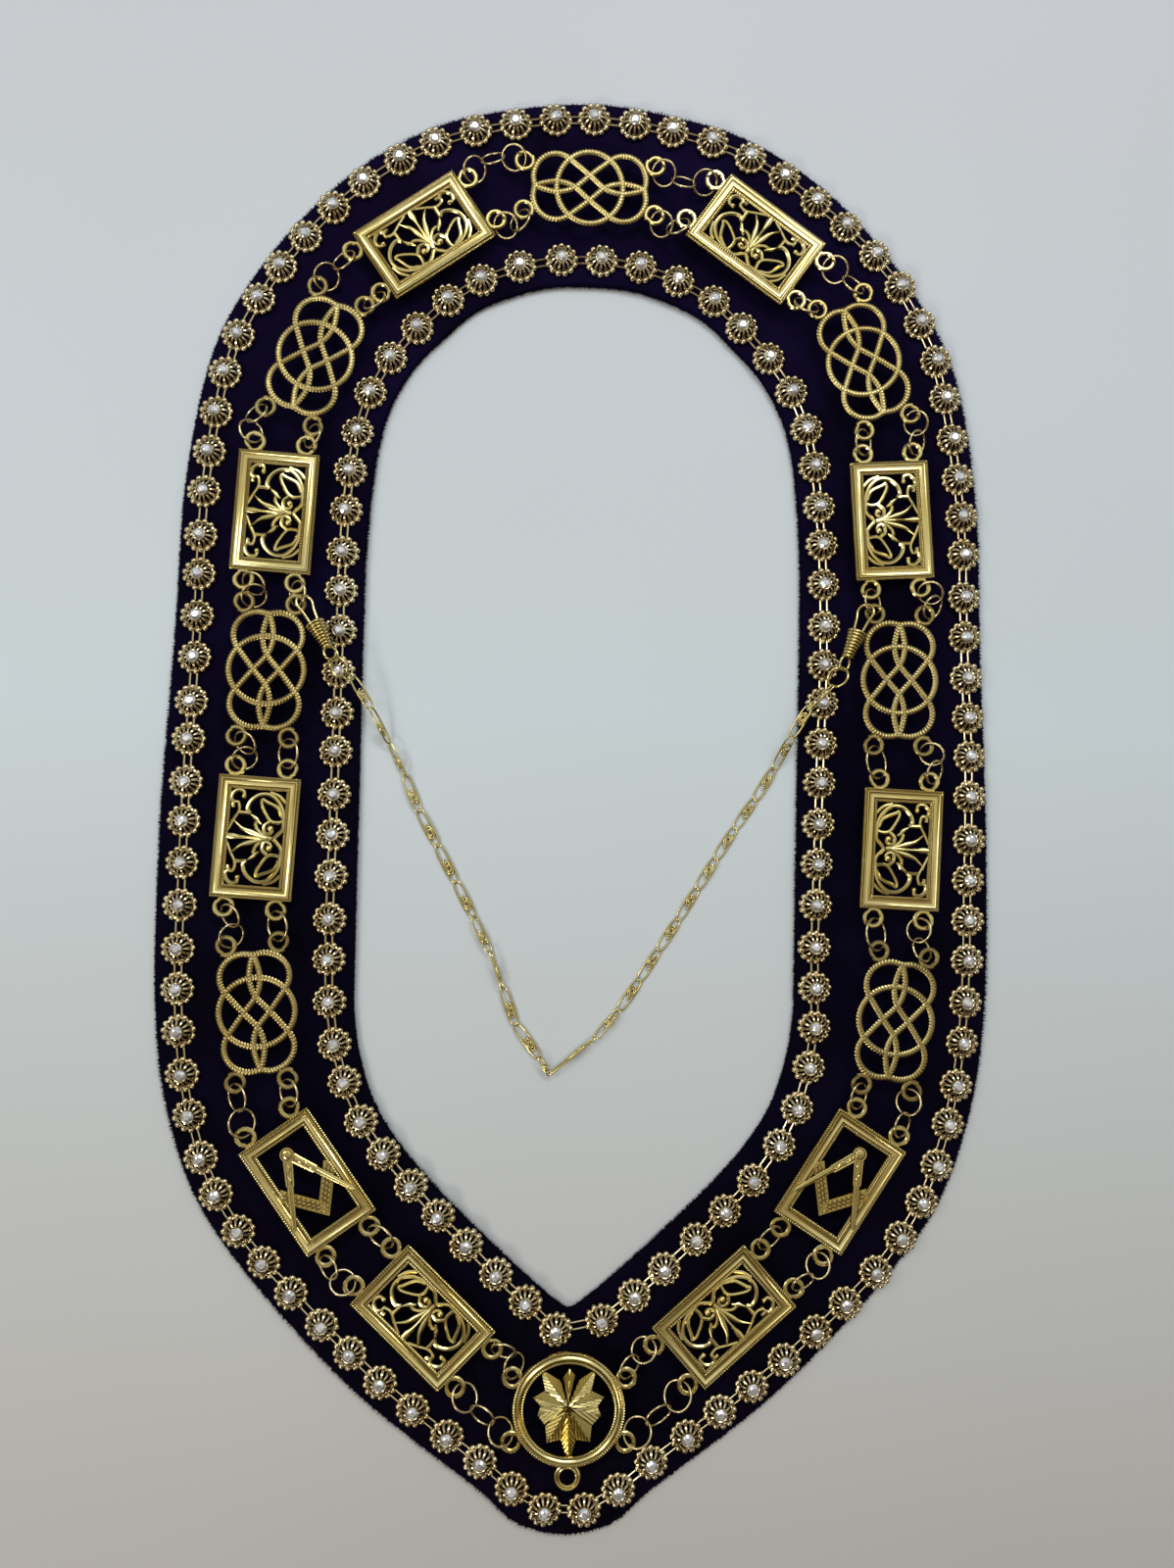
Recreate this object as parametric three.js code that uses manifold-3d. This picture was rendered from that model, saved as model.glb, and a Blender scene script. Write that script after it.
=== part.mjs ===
// Lodge officer's chain collar, lying flat: a velvet yoke with two rows of stone
// flowers, and a chain of eighteen stamped plates joined by jump rings.
// Millimetres, +Z up. The neck top points to +Y and the V point to -Y.

import * as THREE from 'three';
import { mergeVertices } from 'three/addons/utils/BufferGeometryUtils.js';
import Module from 'manifold-3d';

const wasm = await Module();
wasm.setup();

// Driving sizes of the yoke
const LENGTH = 445.5;           // neck top to V point, outside
const WIDTH = 257.6;            // across the shoulders, outside
const BAND = 60.5;              // width of the band at the sides
const NECK_WIDTH = WIDTH - 2 * BAND;
const NECK_TOP = 59.2;          // band at the neck top, outer edge to inner edge
const NECK_TIP = 67.8;          // band at the V point
const VELVET = 2.2;             // thickness of the velvet with its lining
const VELVET_ROUND = 0.7;       // how far the edges round over
const YOKE_STEPS = 48;
const GAP = 0.3;                // clearance between pieces

// Rows of stone flowers, each row one soldered string
const TRIM_WIDTH = 11.2;
const TRIM_HEIGHT = 3.9;
const TRIM_INSET = 5.9;         // velvet edge to the middle of the row
const OUTER_TRIM_STEPS = 40;
const INNER_TRIM_STEPS = 32;

// Stamped plates
const PLATE_LENGTH = 37.2;
const PLATE_WIDTH = 24.6;
const PLATE_THICK = 1.8;
const FRAME_WIDTH = 3.7;
const FRAME_GROOVE = 0.7;       // depth of the trough round the frame
const FILIGREE_THICK = 1.1;
const SQUARE_THICK = 2.1;       // builder's square, laid over the frame
const COMPASS_THICK = 2.4;
const PIVOT_THICK = 2.8;
const ARM_SHARE = 0.13;         // widths of the figure's parts, as shares of the plate's
const LEG_SHARE = 0.1;
const HEAD_SHARE = 0.11;
const HEAD_SIDES = 8;
const KNOT_LENGTH = 37.0;
const KNOT_WIDTH = 24.8;
const KNOT_THICK = 1.5;
const MEDAL_DIAMETER = 34.0;
const MEDAL_RIM = 3.3;
const MEDAL_STEPS = 18;
const STAR_THICK = 1.0;
const STAR_RISE = 1.0;
const BAIL_DIAMETER = 8.2;      // empty loop below the medallion
const BAIL_HOLE = 4.4;

// Eyelets at the corners of each plate
const EYELET_DIAMETER = 6.4;
const EYELET_HOLE = 3.7;
const EYELET_THICK = 1.1;
const EYELET_REACH = 2.8;       // plate end to the middle of the eyelet's hole
const KNOT_EYELET_REACH = 2.0;
const EYELET_SIDES = 7;
const EYELET_HOLE_SIDES = 5;
const EYELET_SPREAD = 15.8;     // between the two eyelets of one end
const MEDAL_EYELET_REACH = 2.5;
const MEDAL_EYELET_ANGLE = 29;  // above and below the medallion's middle, degrees

// Jump rings
const RING_DIAMETER = 8.8;
const RING_WIRE = 0.8;
const RING_TILT = 41;           // degrees from flat, left and right by turns
const RING_PLAY = 0.3;          // how far a ring may sit off an eyelet's middle
const RING_SLACK = 2.2;         // most that a strand's length may be of its gap
const RING_LEAST = 0.94;        // smallest ring, as a share of the usual one
const RING_BITE = 0.24;         // how far touching rings of a strand are fused
const RING_STEPS = 10;
const RING_SIDES = 5;

// Clasps, each a hook of wire in a coiled sleeve with a loop at its foot
const HOOK_REACH = 9.4;         // hook's tip to the sleeve
const HOOK_WIDTH = 6.0;
const HOOK_WIRE = 0.9;
const HOOK_BITE = 1.5;          // how far the tip reaches past the ring it holds
const HOOK_STEPS = 12;
const SLEEVE_LENGTH = 9.0;
const SLEEVE_WIDE = 6.0;
const SLEEVE_NARROW = 3.2;
const SLEEVE_SIDES = 8;
const LOOP_DIAMETER = 5.4;
const LOOP_WIRE = 0.8;
const CLASPS = [
  { name: 'clasp_right', strand: 4, grip: -140, heading: -112, tilt: 34, chainHeading: -120 },
  { name: 'clasp_left', strand: 15, grip: -30, heading: -61, tilt: -34, chainHeading: -56 },
];

// Safety chain between the clasps, with a plain ring at each end
const CHAIN_WIDTH = 3.6;
const CHAIN_THICK = 1.8;
const CHAIN_STEPS = 28;
const CHAIN_SIDES = 8;
const END_RING_DIAMETER = 7.4;
const END_RING_WIRE = 0.8;

// Half outlines of the yoke, from the neck top round to the V point.
// across is a share of half the width, along a share of half the length.
const OUTER_OUTLINE = [
  { across: 0.000, along: 1.000 },
  { across: 0.190, along: 0.988 },
  { across: 0.375, along: 0.960 },
  { across: 0.560, along: 0.898 },
  { across: 0.715, along: 0.812 },
  { across: 0.833, along: 0.718 },
  { across: 0.908, along: 0.629 },
  { across: 0.965, along: 0.450 },
  { across: 0.980, along: 0.225 },
  { across: 1.000, along: -0.060 },
  { across: 0.996, along: -0.290 },
  { across: 0.966, along: -0.418 },
  { across: 0.895, along: -0.540 },
  { across: 0.790, along: -0.632 },
  { across: 0.503, along: -0.808 },
  { across: 0.197, along: -0.944 },
  { across: 0.115, along: -0.984 },
  { across: 0.000, along: -1.000 },
];

// across is a share of half the neck's width. along is a share of the
// opening's half height, measured from the middle of the opening.
const INNER_OUTLINE = [
  { across: 0.000, along: 1.000 },
  { across: 0.182, along: 0.996 },
  { across: 0.357, along: 0.975 },
  { across: 0.523, along: 0.941 },
  { across: 0.665, along: 0.886 },
  { across: 0.792, along: 0.828 },
  { across: 0.896, along: 0.752 },
  { across: 0.949, along: 0.676 },
  { across: 0.981, along: 0.570 },
  { across: 0.999, along: 0.444 },
  { across: 1.003, along: 0.274 },
  { across: 1.000, along: 0.042 },
  { across: 0.997, along: -0.360 },
  { across: 0.993, along: -0.441 },
  { across: 0.959, along: -0.529 },
  { across: 0.887, along: -0.617 },
  { across: 0.769, along: -0.695 },
  { across: 0.596, along: -0.778 },
  { across: 0.280, along: -0.906 },
  { across: 0.045, along: -0.990 },
  { across: 0.000, along: -1.000 },
];

// Plates clockwise from the neck top. across is a share of half the width
// between the middles of the band, along a share of half the length. turn is
// the angle from +X, in degrees, of the plate's own +X. It runs toward the next
// plate clockwise, but on the medallion to the right. outer and inner are the
// rings of the strands to the next plate, and bow is the side to which the
// outer strand hangs. head is the end that the compasses' head is at.
const PLATES = [
  { kind: 'knot', across: -0.0109, along: 0.8657, turn: 0, outer: 3, inner: 2, bow: -1 },
  { kind: 'filigree', across: 0.5243, along: 0.8005, turn: -35, outer: 2, inner: 1, bow: 1 },
  { kind: 'knot', across: 0.8779, along: 0.6316, turn: -68, outer: 2, inner: 1, bow: 1 },
  { kind: 'filigree', across: 0.9736, along: 0.4054, turn: -86, outer: 2, inner: 1, bow: 1 },
  { kind: 'knot', across: 1.0036, along: 0.1802, turn: -90, outer: 2, inner: 1, bow: 1 },
  { kind: 'filigree', across: 1.0153, along: -0.0569, turn: -92, outer: 2, inner: 1, bow: -1 },
  { kind: 'knot', across: 1.0023, along: -0.2941, turn: -97, outer: 2, inner: 1, bow: 1 },
  { kind: 'tools', across: 0.8329, along: -0.5143, turn: -122.5, outer: 2, inner: 1, bow: 1, head: -1 },
  { kind: 'filigree', across: 0.4775, along: -0.6976, turn: -138, outer: 3, inner: 2, bow: 1 },
  { kind: 'medal', across: 0.0047, along: -0.8224, turn: 0, outer: 3, inner: 2, bow: 1 },
  { kind: 'filigree', across: -0.4458, along: -0.7006, turn: 136.2, outer: 2, inner: 1, bow: 1 },
  { kind: 'tools', across: -0.8078, along: -0.5213, turn: 125.5, outer: 2, inner: 1, bow: 1, head: 1 },
  { kind: 'knot', across: -0.9771, along: -0.2951, turn: 95.6, outer: 2, inner: 1, bow: -1 },
  { kind: 'filigree', across: -0.9980, along: -0.0589, turn: 87, outer: 2, inner: 1, bow: -1 },
  { kind: 'knot', across: -0.9823, along: 0.1712, turn: 88.6, outer: 2, inner: 1, bow: -1 },
  { kind: 'filigree', across: -0.9707, along: 0.3899, turn: 87, outer: 2, inner: 1, bow: 1 },
  { kind: 'knot', across: -0.8612, along: 0.6106, turn: 69, outer: 2, inner: 1, bow: 1 },
  { kind: 'filigree', across: -0.5304, along: 0.7880, turn: 35.2, outer: 3, inner: 2, bow: 1 },
];

// One quarter of the knot's outline, and its holes. along is a share of half
// the knot's length, across a share of half its width.
const KNOT_OUTLINE = [
  { along: 0.94, across: 0.00 },
  { along: 1.00, across: 0.25 },
  { along: 0.98, across: 0.56 },
  { along: 0.82, across: 0.84 },
  { along: 0.56, across: 0.87 },
  { along: 0.45, across: 0.80 },
  { along: 0.24, across: 0.96 },
];
const KNOT_LOBE_HOLE = [
  { along: 0.87, across: 0.22 },
  { along: 0.86, across: 0.55 },
  { along: 0.66, across: 0.77 },
  { along: 0.50, across: 0.68 },
  { along: 0.64, across: 0.24 },
];
const KNOT_SHOULDER_HOLE = [
  { along: 0.48, across: 0.20 },
  { along: 0.34, across: 0.62 },
  { along: 0.12, across: 0.34 },
  { along: 0.26, across: 0.12 },
];
const KNOT_SIDE_HOLE = [
  { along: 0.27, across: 0.74 },
  { along: 0.12, across: 0.85 },
  { along: -0.12, across: 0.85 },
  { along: -0.27, across: 0.74 },
  { along: 0.00, across: 0.42 },
];

// Holes of one half of the scrollwork, mirrored for the other half. Shares of
// half the frame's opening; the neck side is -across.
const FILIGREE_LEAF_HOLE = [
  { along: 0.36, across: -0.74 },
  { along: 0.66, across: -0.72 },
  { along: 0.90, across: -0.22 },
  { along: 0.74, across: 0.12 },
  { along: 0.46, across: -0.20 },
];
const FILIGREE_FAN_HOLE = [
  { along: 0.16, across: 0.02 },
  { along: 0.44, across: 0.06 },
  { along: 0.60, across: 0.36 },
  { along: 0.44, across: 0.84 },
  { along: 0.12, across: 0.80 },
];

// Points of the medallion's star: share of the rim's inner radius, and angle
const STAR_POINTS = [
  { reach: 0.92, angle: 90 },
  { reach: 0.50, angle: 72 },
  { reach: 1.06, angle: 56 },
  { reach: 0.52, angle: 36 },
  { reach: 0.76, angle: 19 },
  { reach: 0.40, angle: -14 },
  { reach: 0.80, angle: -52 },
  { reach: 0.46, angle: -74 },
];
const STAR_FOOT = { reach: 1.06, angle: -90 };

// Safety chain: the chosen points of its route between the two end rings,
// as shares of half the neck's width and half the length
const CHAIN_ROUTE = [
  { across: 1.0293, along: 0.1383, on: 'trim' },
  { across: 0.9590, along: 0.0988, on: 'edge' },
  { across: 0.8911, along: 0.0521, on: 'table' },
  { across: 0.8580, along: 0.0350, on: 'table' },
  { across: 0.7174, along: -0.0328, on: 'table' },
  { across: 0.6310, along: -0.0754, on: 'table' },
  { across: 0.4627, along: -0.1621, on: 'table' },
  { across: 0.2899, along: -0.2474, on: 'table' },
  { across: 0.1999, along: -0.2882, on: 'table' },
  { across: 0.0937, along: -0.3268, on: 'table' },
  { across: -0.0220, along: -0.3609, on: 'table' },
  { across: -0.1142, along: -0.3695, on: 'table' },
  { across: -0.1816, along: -0.3502, on: 'table' },
  { across: -0.2679, along: -0.3107, on: 'table' },
  { across: -0.3294, along: -0.2599, on: 'table' },
  { across: -0.3909, along: -0.2101, on: 'table' },
  { across: -0.6413, along: -0.0651, on: 'table' },
  { across: -0.8389, along: 0.0579, on: 'table' },
  { across: -0.8697, along: 0.0763, on: 'table' },
  { across: -0.9502, along: 0.1239, on: 'edge' },
  { across: -1.0278, along: 0.1625, on: 'trim' },
];

const half = (value) => value / 2;
const degrees = THREE.MathUtils.degToRad;

// Worked-out sizes
const VELVET_TOP = VELVET;
const RING_RADIUS = half(RING_DIAMETER - RING_WIRE);
const RING_PAST = half(RING_WIRE) - half(RING_BITE);   // how far two rings run past a joint
const TRIM_LEVEL = VELVET_TOP + GAP;
const PLATE_BACK = -EYELET_THICK / 2;   // back of each plate, from its eyelets' middle

const GOLD = { color: 0xc9a545, roughness: 0.32, metalness: 1.0 };
const CLOTH = { color: 0x0d0a24, roughness: 0.95, metalness: 0.0 };

// Solids in and out of the boolean library
function solidOf(geometry) {
  const bare = geometry.clone();
  bare.deleteAttribute('normal');
  bare.deleteAttribute('uv');
  const merged = mergeVertices(bare, 1e-4);
  const vertProperties = new Float32Array(merged.attributes.position.array);
  const triVerts = new Uint32Array(merged.index.array);
  return new wasm.Manifold(new wasm.Mesh({ numProp: 3, vertProperties, triVerts }));
}

function geometryOf(solid) {
  const mesh = solid.getMesh();
  const geometry = new THREE.BufferGeometry();
  geometry.setAttribute('position', new THREE.BufferAttribute(mesh.vertProperties, 3));
  geometry.setIndex(new THREE.BufferAttribute(mesh.triVerts, 1));
  geometry.computeVertexNormals();
  return geometry;
}

function joined(geometries) {
  let whole = solidOf(geometries[0]);
  for (const geometry of geometries.slice(1)) {
    whole = whole.add(solidOf(geometry));
  }
  return geometryOf(whole);
}

function pieceMesh(name, geometry, finish) {
  const mesh = new THREE.Mesh(geometry, new THREE.MeshStandardMaterial(finish));
  mesh.name = name;
  return mesh;
}

// A closed ring of sections: pointAt(step, corner) runs round both ways
function loft(steps, corners, pointAt) {
  const positions = [];
  const index = [];
  for (let step = 0; step < steps; step += 1) {
    for (let corner = 0; corner < corners; corner += 1) {
      const point = pointAt(step, corner);
      positions.push(point.x, point.y, point.z);
    }
  }
  for (let step = 0; step < steps; step += 1) {
    const next = (step + 1) % steps;
    for (let corner = 0; corner < corners; corner += 1) {
      const beside = (corner + 1) % corners;
      const a = step * corners + corner;
      const b = step * corners + beside;
      const c = next * corners + beside;
      const d = next * corners + corner;
      index.push(a, b, c, a, c, d);
    }
  }
  const geometry = new THREE.BufferGeometry();
  geometry.setAttribute('position', new THREE.Float32BufferAttribute(positions, 3));
  geometry.setIndex(index);
  return geometry;
}

// Yoke outlines as closed curves, clockwise seen from above
function outlineCurve(rows, halfWidth, halfLength, middle) {
  const right = rows.map((row) => (
    new THREE.Vector3(row.across * halfWidth, middle + row.along * halfLength, 0)
  ));
  const left = right.slice(1, -1).reverse().map((point) => (
    new THREE.Vector3(-point.x, point.y, 0)
  ));
  return new THREE.CatmullRomCurve3([...right, ...left], true, 'centripetal');
}

const neckHigh = half(LENGTH) - NECK_TOP;
const neckLow = -half(LENGTH) + NECK_TIP;
const outerCurve = outlineCurve(OUTER_OUTLINE, half(WIDTH), half(LENGTH), 0);
const innerCurve = outlineCurve(
  INNER_OUTLINE, half(NECK_WIDTH), half(neckHigh - neckLow), half(neckHigh + neckLow),
);

// Evenly spaced stations of a curve with the way to its left, which is outward
function stations(curve, steps) {
  const list = [];
  for (let step = 0; step < steps; step += 1) {
    const share = step / steps;
    const point = curve.getPointAt(share);
    const tangent = curve.getTangentAt(share);
    list.push({ point, outward: new THREE.Vector3(-tangent.y, tangent.x, 0) });
  }
  return list;
}

function velvetYoke() {
  const outer = stations(outerCurve, YOKE_STEPS);
  const inner = stations(innerCurve, YOKE_STEPS);
  const section = [
    { edge: outer, inset: -VELVET_ROUND, z: 0 },
    { edge: outer, inset: 0, z: half(VELVET) },
    { edge: outer, inset: -VELVET_ROUND, z: VELVET },
    { edge: inner, inset: VELVET_ROUND, z: VELVET },
    { edge: inner, inset: 0, z: half(VELVET) },
    { edge: inner, inset: VELVET_ROUND, z: 0 },
  ];
  return loft(YOKE_STEPS, section.length, (step, corner) => {
    const { edge, inset, z } = section[corner];
    const station = edge[step];
    return station.point.clone().addScaledVector(station.outward, inset).setZ(z);
  });
}

// A half-round band that stands for one row of stone flowers
function stoneTrim(curve, inset, steps) {
  const side = half(TRIM_WIDTH);
  const section = [
    { offset: side, z: 0 },
    { offset: side, z: 0.4 * TRIM_HEIGHT },
    { offset: 0.4 * side, z: TRIM_HEIGHT },
    { offset: -0.4 * side, z: TRIM_HEIGHT },
    { offset: -side, z: 0.4 * TRIM_HEIGHT },
    { offset: -side, z: 0 },
  ];
  const route = stations(curve, steps);
  return loft(steps, section.length, (step, corner) => {
    const station = route[step];
    const { offset, z } = section[corner];
    return station.point.clone()
      .addScaledVector(station.outward, inset + offset)
      .setZ(TRIM_LEVEL + z);
  });
}

// Flat plates from tables: along runs on local X, across on local Y
function corners(rows, halfLength, halfWidth, alongSign = 1, acrossSign = 1) {
  return rows.map((row) => new THREE.Vector2(
    alongSign * row.along * halfLength, acrossSign * row.across * halfWidth,
  ));
}

function slab(outline, holes, thick, level) {
  const shape = new THREE.Shape(outline);
  for (const hole of holes) {
    shape.holes.push(new THREE.Path(hole));
  }
  const geometry = new THREE.ExtrudeGeometry(shape, { depth: thick, bevelEnabled: false });
  geometry.translate(0, 0, level);
  return geometry;
}

function polygon(sides, radius, turn = 0) {
  const points = [];
  for (let side = 0; side < sides; side += 1) {
    const angle = turn + (2 * Math.PI * side) / sides;
    points.push(new THREE.Vector2(radius * Math.cos(angle), radius * Math.sin(angle)));
  }
  return points;
}

function moved(points, x, y) {
  return points.map((point) => new THREE.Vector2(point.x + x, point.y + y));
}

// A flat loop with a round hole, centred at x, y
function eyelet(x, y, diameter, hole) {
  const rim = moved(polygon(EYELET_SIDES, half(diameter), Math.PI / EYELET_SIDES), x, y);
  const bore = moved(polygon(EYELET_HOLE_SIDES, half(hole)), x, y);
  return slab(rim, [bore], EYELET_THICK, PLATE_BACK);
}

function eyeletPlaces(plateLength, eyeletReach) {
  const reach = half(plateLength) + eyeletReach;
  const spread = half(EYELET_SPREAD);
  return [
    { end: 'first', side: 'outer', x: -reach, y: spread },
    { end: 'first', side: 'inner', x: -reach, y: -spread },
    { end: 'second', side: 'outer', x: reach, y: spread },
    { end: 'second', side: 'inner', x: reach, y: -spread },
  ];
}

// The frame's section runs from its outer edge over a trough to its opening
function plateFrame() {
  const rim = PLATE_BACK + PLATE_THICK;
  const section = [
    { inset: 0, z: PLATE_BACK },
    { inset: 0, z: rim },
    { inset: 0.25 * FRAME_WIDTH, z: rim },
    { inset: 0.5 * FRAME_WIDTH, z: rim - FRAME_GROOVE },
    { inset: 0.8 * FRAME_WIDTH, z: rim },
    { inset: FRAME_WIDTH, z: rim - half(FRAME_GROOVE) },
    { inset: FRAME_WIDTH, z: PLATE_BACK },
  ];
  const signs = [[1, 1], [1, -1], [-1, -1], [-1, 1]];
  return loft(signs.length, section.length, (step, corner) => {
    const { inset, z } = section[corner];
    const [signX, signY] = signs[step];
    return new THREE.Vector3(
      signX * (half(PLATE_LENGTH) - inset), signY * (half(PLATE_WIDTH) - inset), z,
    );
  });
}

function filigreePlate() {
  const openLength = half(PLATE_LENGTH) - FRAME_WIDTH;
  const openWidth = half(PLATE_WIDTH) - FRAME_WIDTH;
  const overlap = 0.3 * FRAME_WIDTH;
  const edge = [
    new THREE.Vector2(openLength + overlap, openWidth + overlap),
    new THREE.Vector2(-openLength - overlap, openWidth + overlap),
    new THREE.Vector2(-openLength - overlap, -openWidth - overlap),
    new THREE.Vector2(openLength + overlap, -openWidth - overlap),
  ];
  const holes = [];
  for (const table of [FILIGREE_LEAF_HOLE, FILIGREE_FAN_HOLE]) {
    holes.push(corners(table, openLength, openWidth));
    holes.push(corners(table, openLength, openWidth, -1));
  }
  return [plateFrame(), slab(edge, holes, FILIGREE_THICK, PLATE_BACK)];
}

// Compasses over a builder's square, both laid over the frame. The compasses'
// head is at +X, or at -X where headSide is -1.
function toolsPlate(headSide) {
  const openLength = half(PLATE_LENGTH) - FRAME_WIDTH;
  const openWidth = half(PLATE_WIDTH) - FRAME_WIDTH;
  const arm = ARM_SHARE * PLATE_WIDTH;
  const over = openWidth + 0.45 * FRAME_WIDTH;
  const vertexX = -0.85 * openLength;
  const armEnd = 0.02 * openLength;
  const lean = over / (armEnd - vertexX);
  const inside = vertexX + arm * Math.hypot(1, 1 / lean);
  const square = [
    new THREE.Vector2(vertexX, 0),
    new THREE.Vector2(armEnd, -over),
    new THREE.Vector2(armEnd + arm * 0.8, -over),
    new THREE.Vector2(inside, 0),
    new THREE.Vector2(armEnd + arm * 0.8, over),
    new THREE.Vector2(armEnd, over),
  ];
  const headX = 0.70 * openLength;
  const legWide = LEG_SHARE * PLATE_WIDTH;
  const tipX = -0.66 * openLength;
  const compasses = [
    new THREE.Vector2(headX + legWide, 0),
    new THREE.Vector2(headX - 0.2 * legWide, legWide),
    new THREE.Vector2(tipX, over),
    new THREE.Vector2(tipX, over - legWide),
    new THREE.Vector2(headX - 2 * legWide, 0),
    new THREE.Vector2(tipX, -over + legWide),
    new THREE.Vector2(tipX, -over),
    new THREE.Vector2(headX - 0.2 * legWide, -legWide),
  ];
  const head = moved(polygon(HEAD_SIDES, HEAD_SHARE * PLATE_WIDTH), headX, 0);
  const figure = [
    slab(square, [], SQUARE_THICK, PLATE_BACK),
    slab(compasses, [], COMPASS_THICK, PLATE_BACK),
    slab(head, [], PIVOT_THICK, PLATE_BACK),
  ];
  for (const piece of figure) {
    piece.rotateZ(headSide > 0 ? 0 : Math.PI);
  }
  return [plateFrame(), ...figure];
}

function knotPlate() {
  const along = half(KNOT_LENGTH);
  const across = half(KNOT_WIDTH);
  const quarter = corners(KNOT_OUTLINE, along, across);
  const side = new THREE.Vector2(0, across);
  const upper = [...quarter, side, ...corners(KNOT_OUTLINE, along, across, -1).reverse()];
  const lower = upper.slice(1, -1).reverse().map((point) => (
    new THREE.Vector2(point.x, -point.y)
  ));
  const holes = [];
  for (const sign of [1, -1]) {
    holes.push(corners(KNOT_SIDE_HOLE, along, across, 1, sign));
    for (const table of [KNOT_LOBE_HOLE, KNOT_SHOULDER_HOLE]) {
      holes.push(corners(table, along, across, sign, 1));
      holes.push(corners(table, along, across, sign, -1));
    }
  }
  return [slab([...upper, ...lower], holes, KNOT_THICK, PLATE_BACK)];
}

function medalRim() {
  const outer = half(MEDAL_DIAMETER);
  const rim = PLATE_BACK + PLATE_THICK;
  const section = [
    { inset: 0, z: PLATE_BACK },
    { inset: 0, z: rim },
    { inset: 0.5 * MEDAL_RIM, z: rim - half(FRAME_GROOVE) },
    { inset: MEDAL_RIM, z: rim },
    { inset: MEDAL_RIM, z: PLATE_BACK },
  ];
  return loft(MEDAL_STEPS, section.length, (step, corner) => {
    const angle = (-2 * Math.PI * step) / MEDAL_STEPS;
    const radius = outer - section[corner].inset;
    return new THREE.Vector3(
      radius * Math.cos(angle), radius * Math.sin(angle), section[corner].z,
    );
  });
}

// A star whose faces rise to its middle, like pleats
function medalStar() {
  const inner = half(MEDAL_DIAMETER) - MEDAL_RIM;
  const right = STAR_POINTS;
  const left = right.slice(1).reverse().map((row) => (
    { reach: row.reach, angle: 180 - row.angle }
  ));
  const rows = [...right, STAR_FOOT, ...left];
  const low = PLATE_BACK;
  const high = low + STAR_THICK;
  const positions = [0, 0, low, 0, 0, high + STAR_RISE];
  for (const row of rows) {
    const x = inner * row.reach * Math.cos(degrees(row.angle));
    const y = inner * row.reach * Math.sin(degrees(row.angle));
    positions.push(x, y, low, x, y, high);
  }
  const index = [];
  for (let row = 0; row < rows.length; row += 1) {
    const a = 2 + 2 * row;
    const b = 2 + 2 * ((row + 1) % rows.length);
    index.push(0, a, b, 1, b + 1, a + 1, a, a + 1, b + 1, a, b + 1, b);
  }
  const geometry = new THREE.BufferGeometry();
  geometry.setAttribute('position', new THREE.Float32BufferAttribute(positions, 3));
  geometry.setIndex(index);
  return geometry;
}

function medalEyelets() {
  const radius = half(MEDAL_DIAMETER) + MEDAL_EYELET_REACH;
  const places = [];
  for (const [end, facing] of [['first', 1], ['second', -1]]) {
    for (const [side, sign] of [['inner', 1], ['outer', -1]]) {
      const angle = degrees(sign * MEDAL_EYELET_ANGLE);
      places.push({ end, side, x: facing * radius * Math.cos(angle), y: radius * Math.sin(angle) });
    }
  }
  return places;
}

const PLATE_KINDS = {
  knot: { body: knotPlate, eyelets: () => eyeletPlaces(KNOT_LENGTH, KNOT_EYELET_REACH) },
  filigree: { body: filigreePlate, eyelets: () => eyeletPlaces(PLATE_LENGTH, EYELET_REACH) },
  tools: { body: (row) => toolsPlate(row.head), eyelets: () => eyeletPlaces(PLATE_LENGTH, EYELET_REACH) },
  medal: { body: () => [medalRim(), medalStar()], eyelets: medalEyelets },
};

function plateGeometry(row) {
  const parts = PLATE_KINDS[row.kind].body(row);
  for (const place of PLATE_KINDS[row.kind].eyelets()) {
    parts.push(eyelet(place.x, place.y, EYELET_DIAMETER, EYELET_HOLE));
  }
  if (row.kind === 'medal') {
    const drop = half(MEDAL_DIAMETER) + half(BAIL_DIAMETER) - 0.35 * (BAIL_DIAMETER - BAIL_HOLE);
    parts.push(eyelet(0, -drop, BAIL_DIAMETER, BAIL_HOLE));
  }
  return joined(parts);
}

// Places on the level of the eyelets' middles
function platePose(row) {
  return {
    x: row.across * half(WIDTH - BAND),
    y: row.along * half(LENGTH),
    turn: degrees(row.turn),
  };
}

function plateMesh(row, index) {
  const pose = platePose(row);
  const number = String(index + 1).padStart(2, '0');
  const name = row.kind === 'medal' ? 'medallion' : `plate_${number}_${row.kind}`;
  const mesh = pieceMesh(name, plateGeometry(row), GOLD);
  mesh.position.set(pose.x, pose.y, CHAIN_LEVEL);
  mesh.rotation.z = pose.turn;
  return mesh;
}

function eyeletPoint(row, end, side) {
  const pose = platePose(row);
  const place = PLATE_KINDS[row.kind].eyelets()
    .find((candidate) => candidate.end === end && candidate.side === side);
  const cos = Math.cos(pose.turn);
  const sin = Math.sin(pose.turn);
  return new THREE.Vector3(
    pose.x + place.x * cos - place.y * sin, pose.y + place.x * sin + place.y * cos, 0,
  );
}

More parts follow.
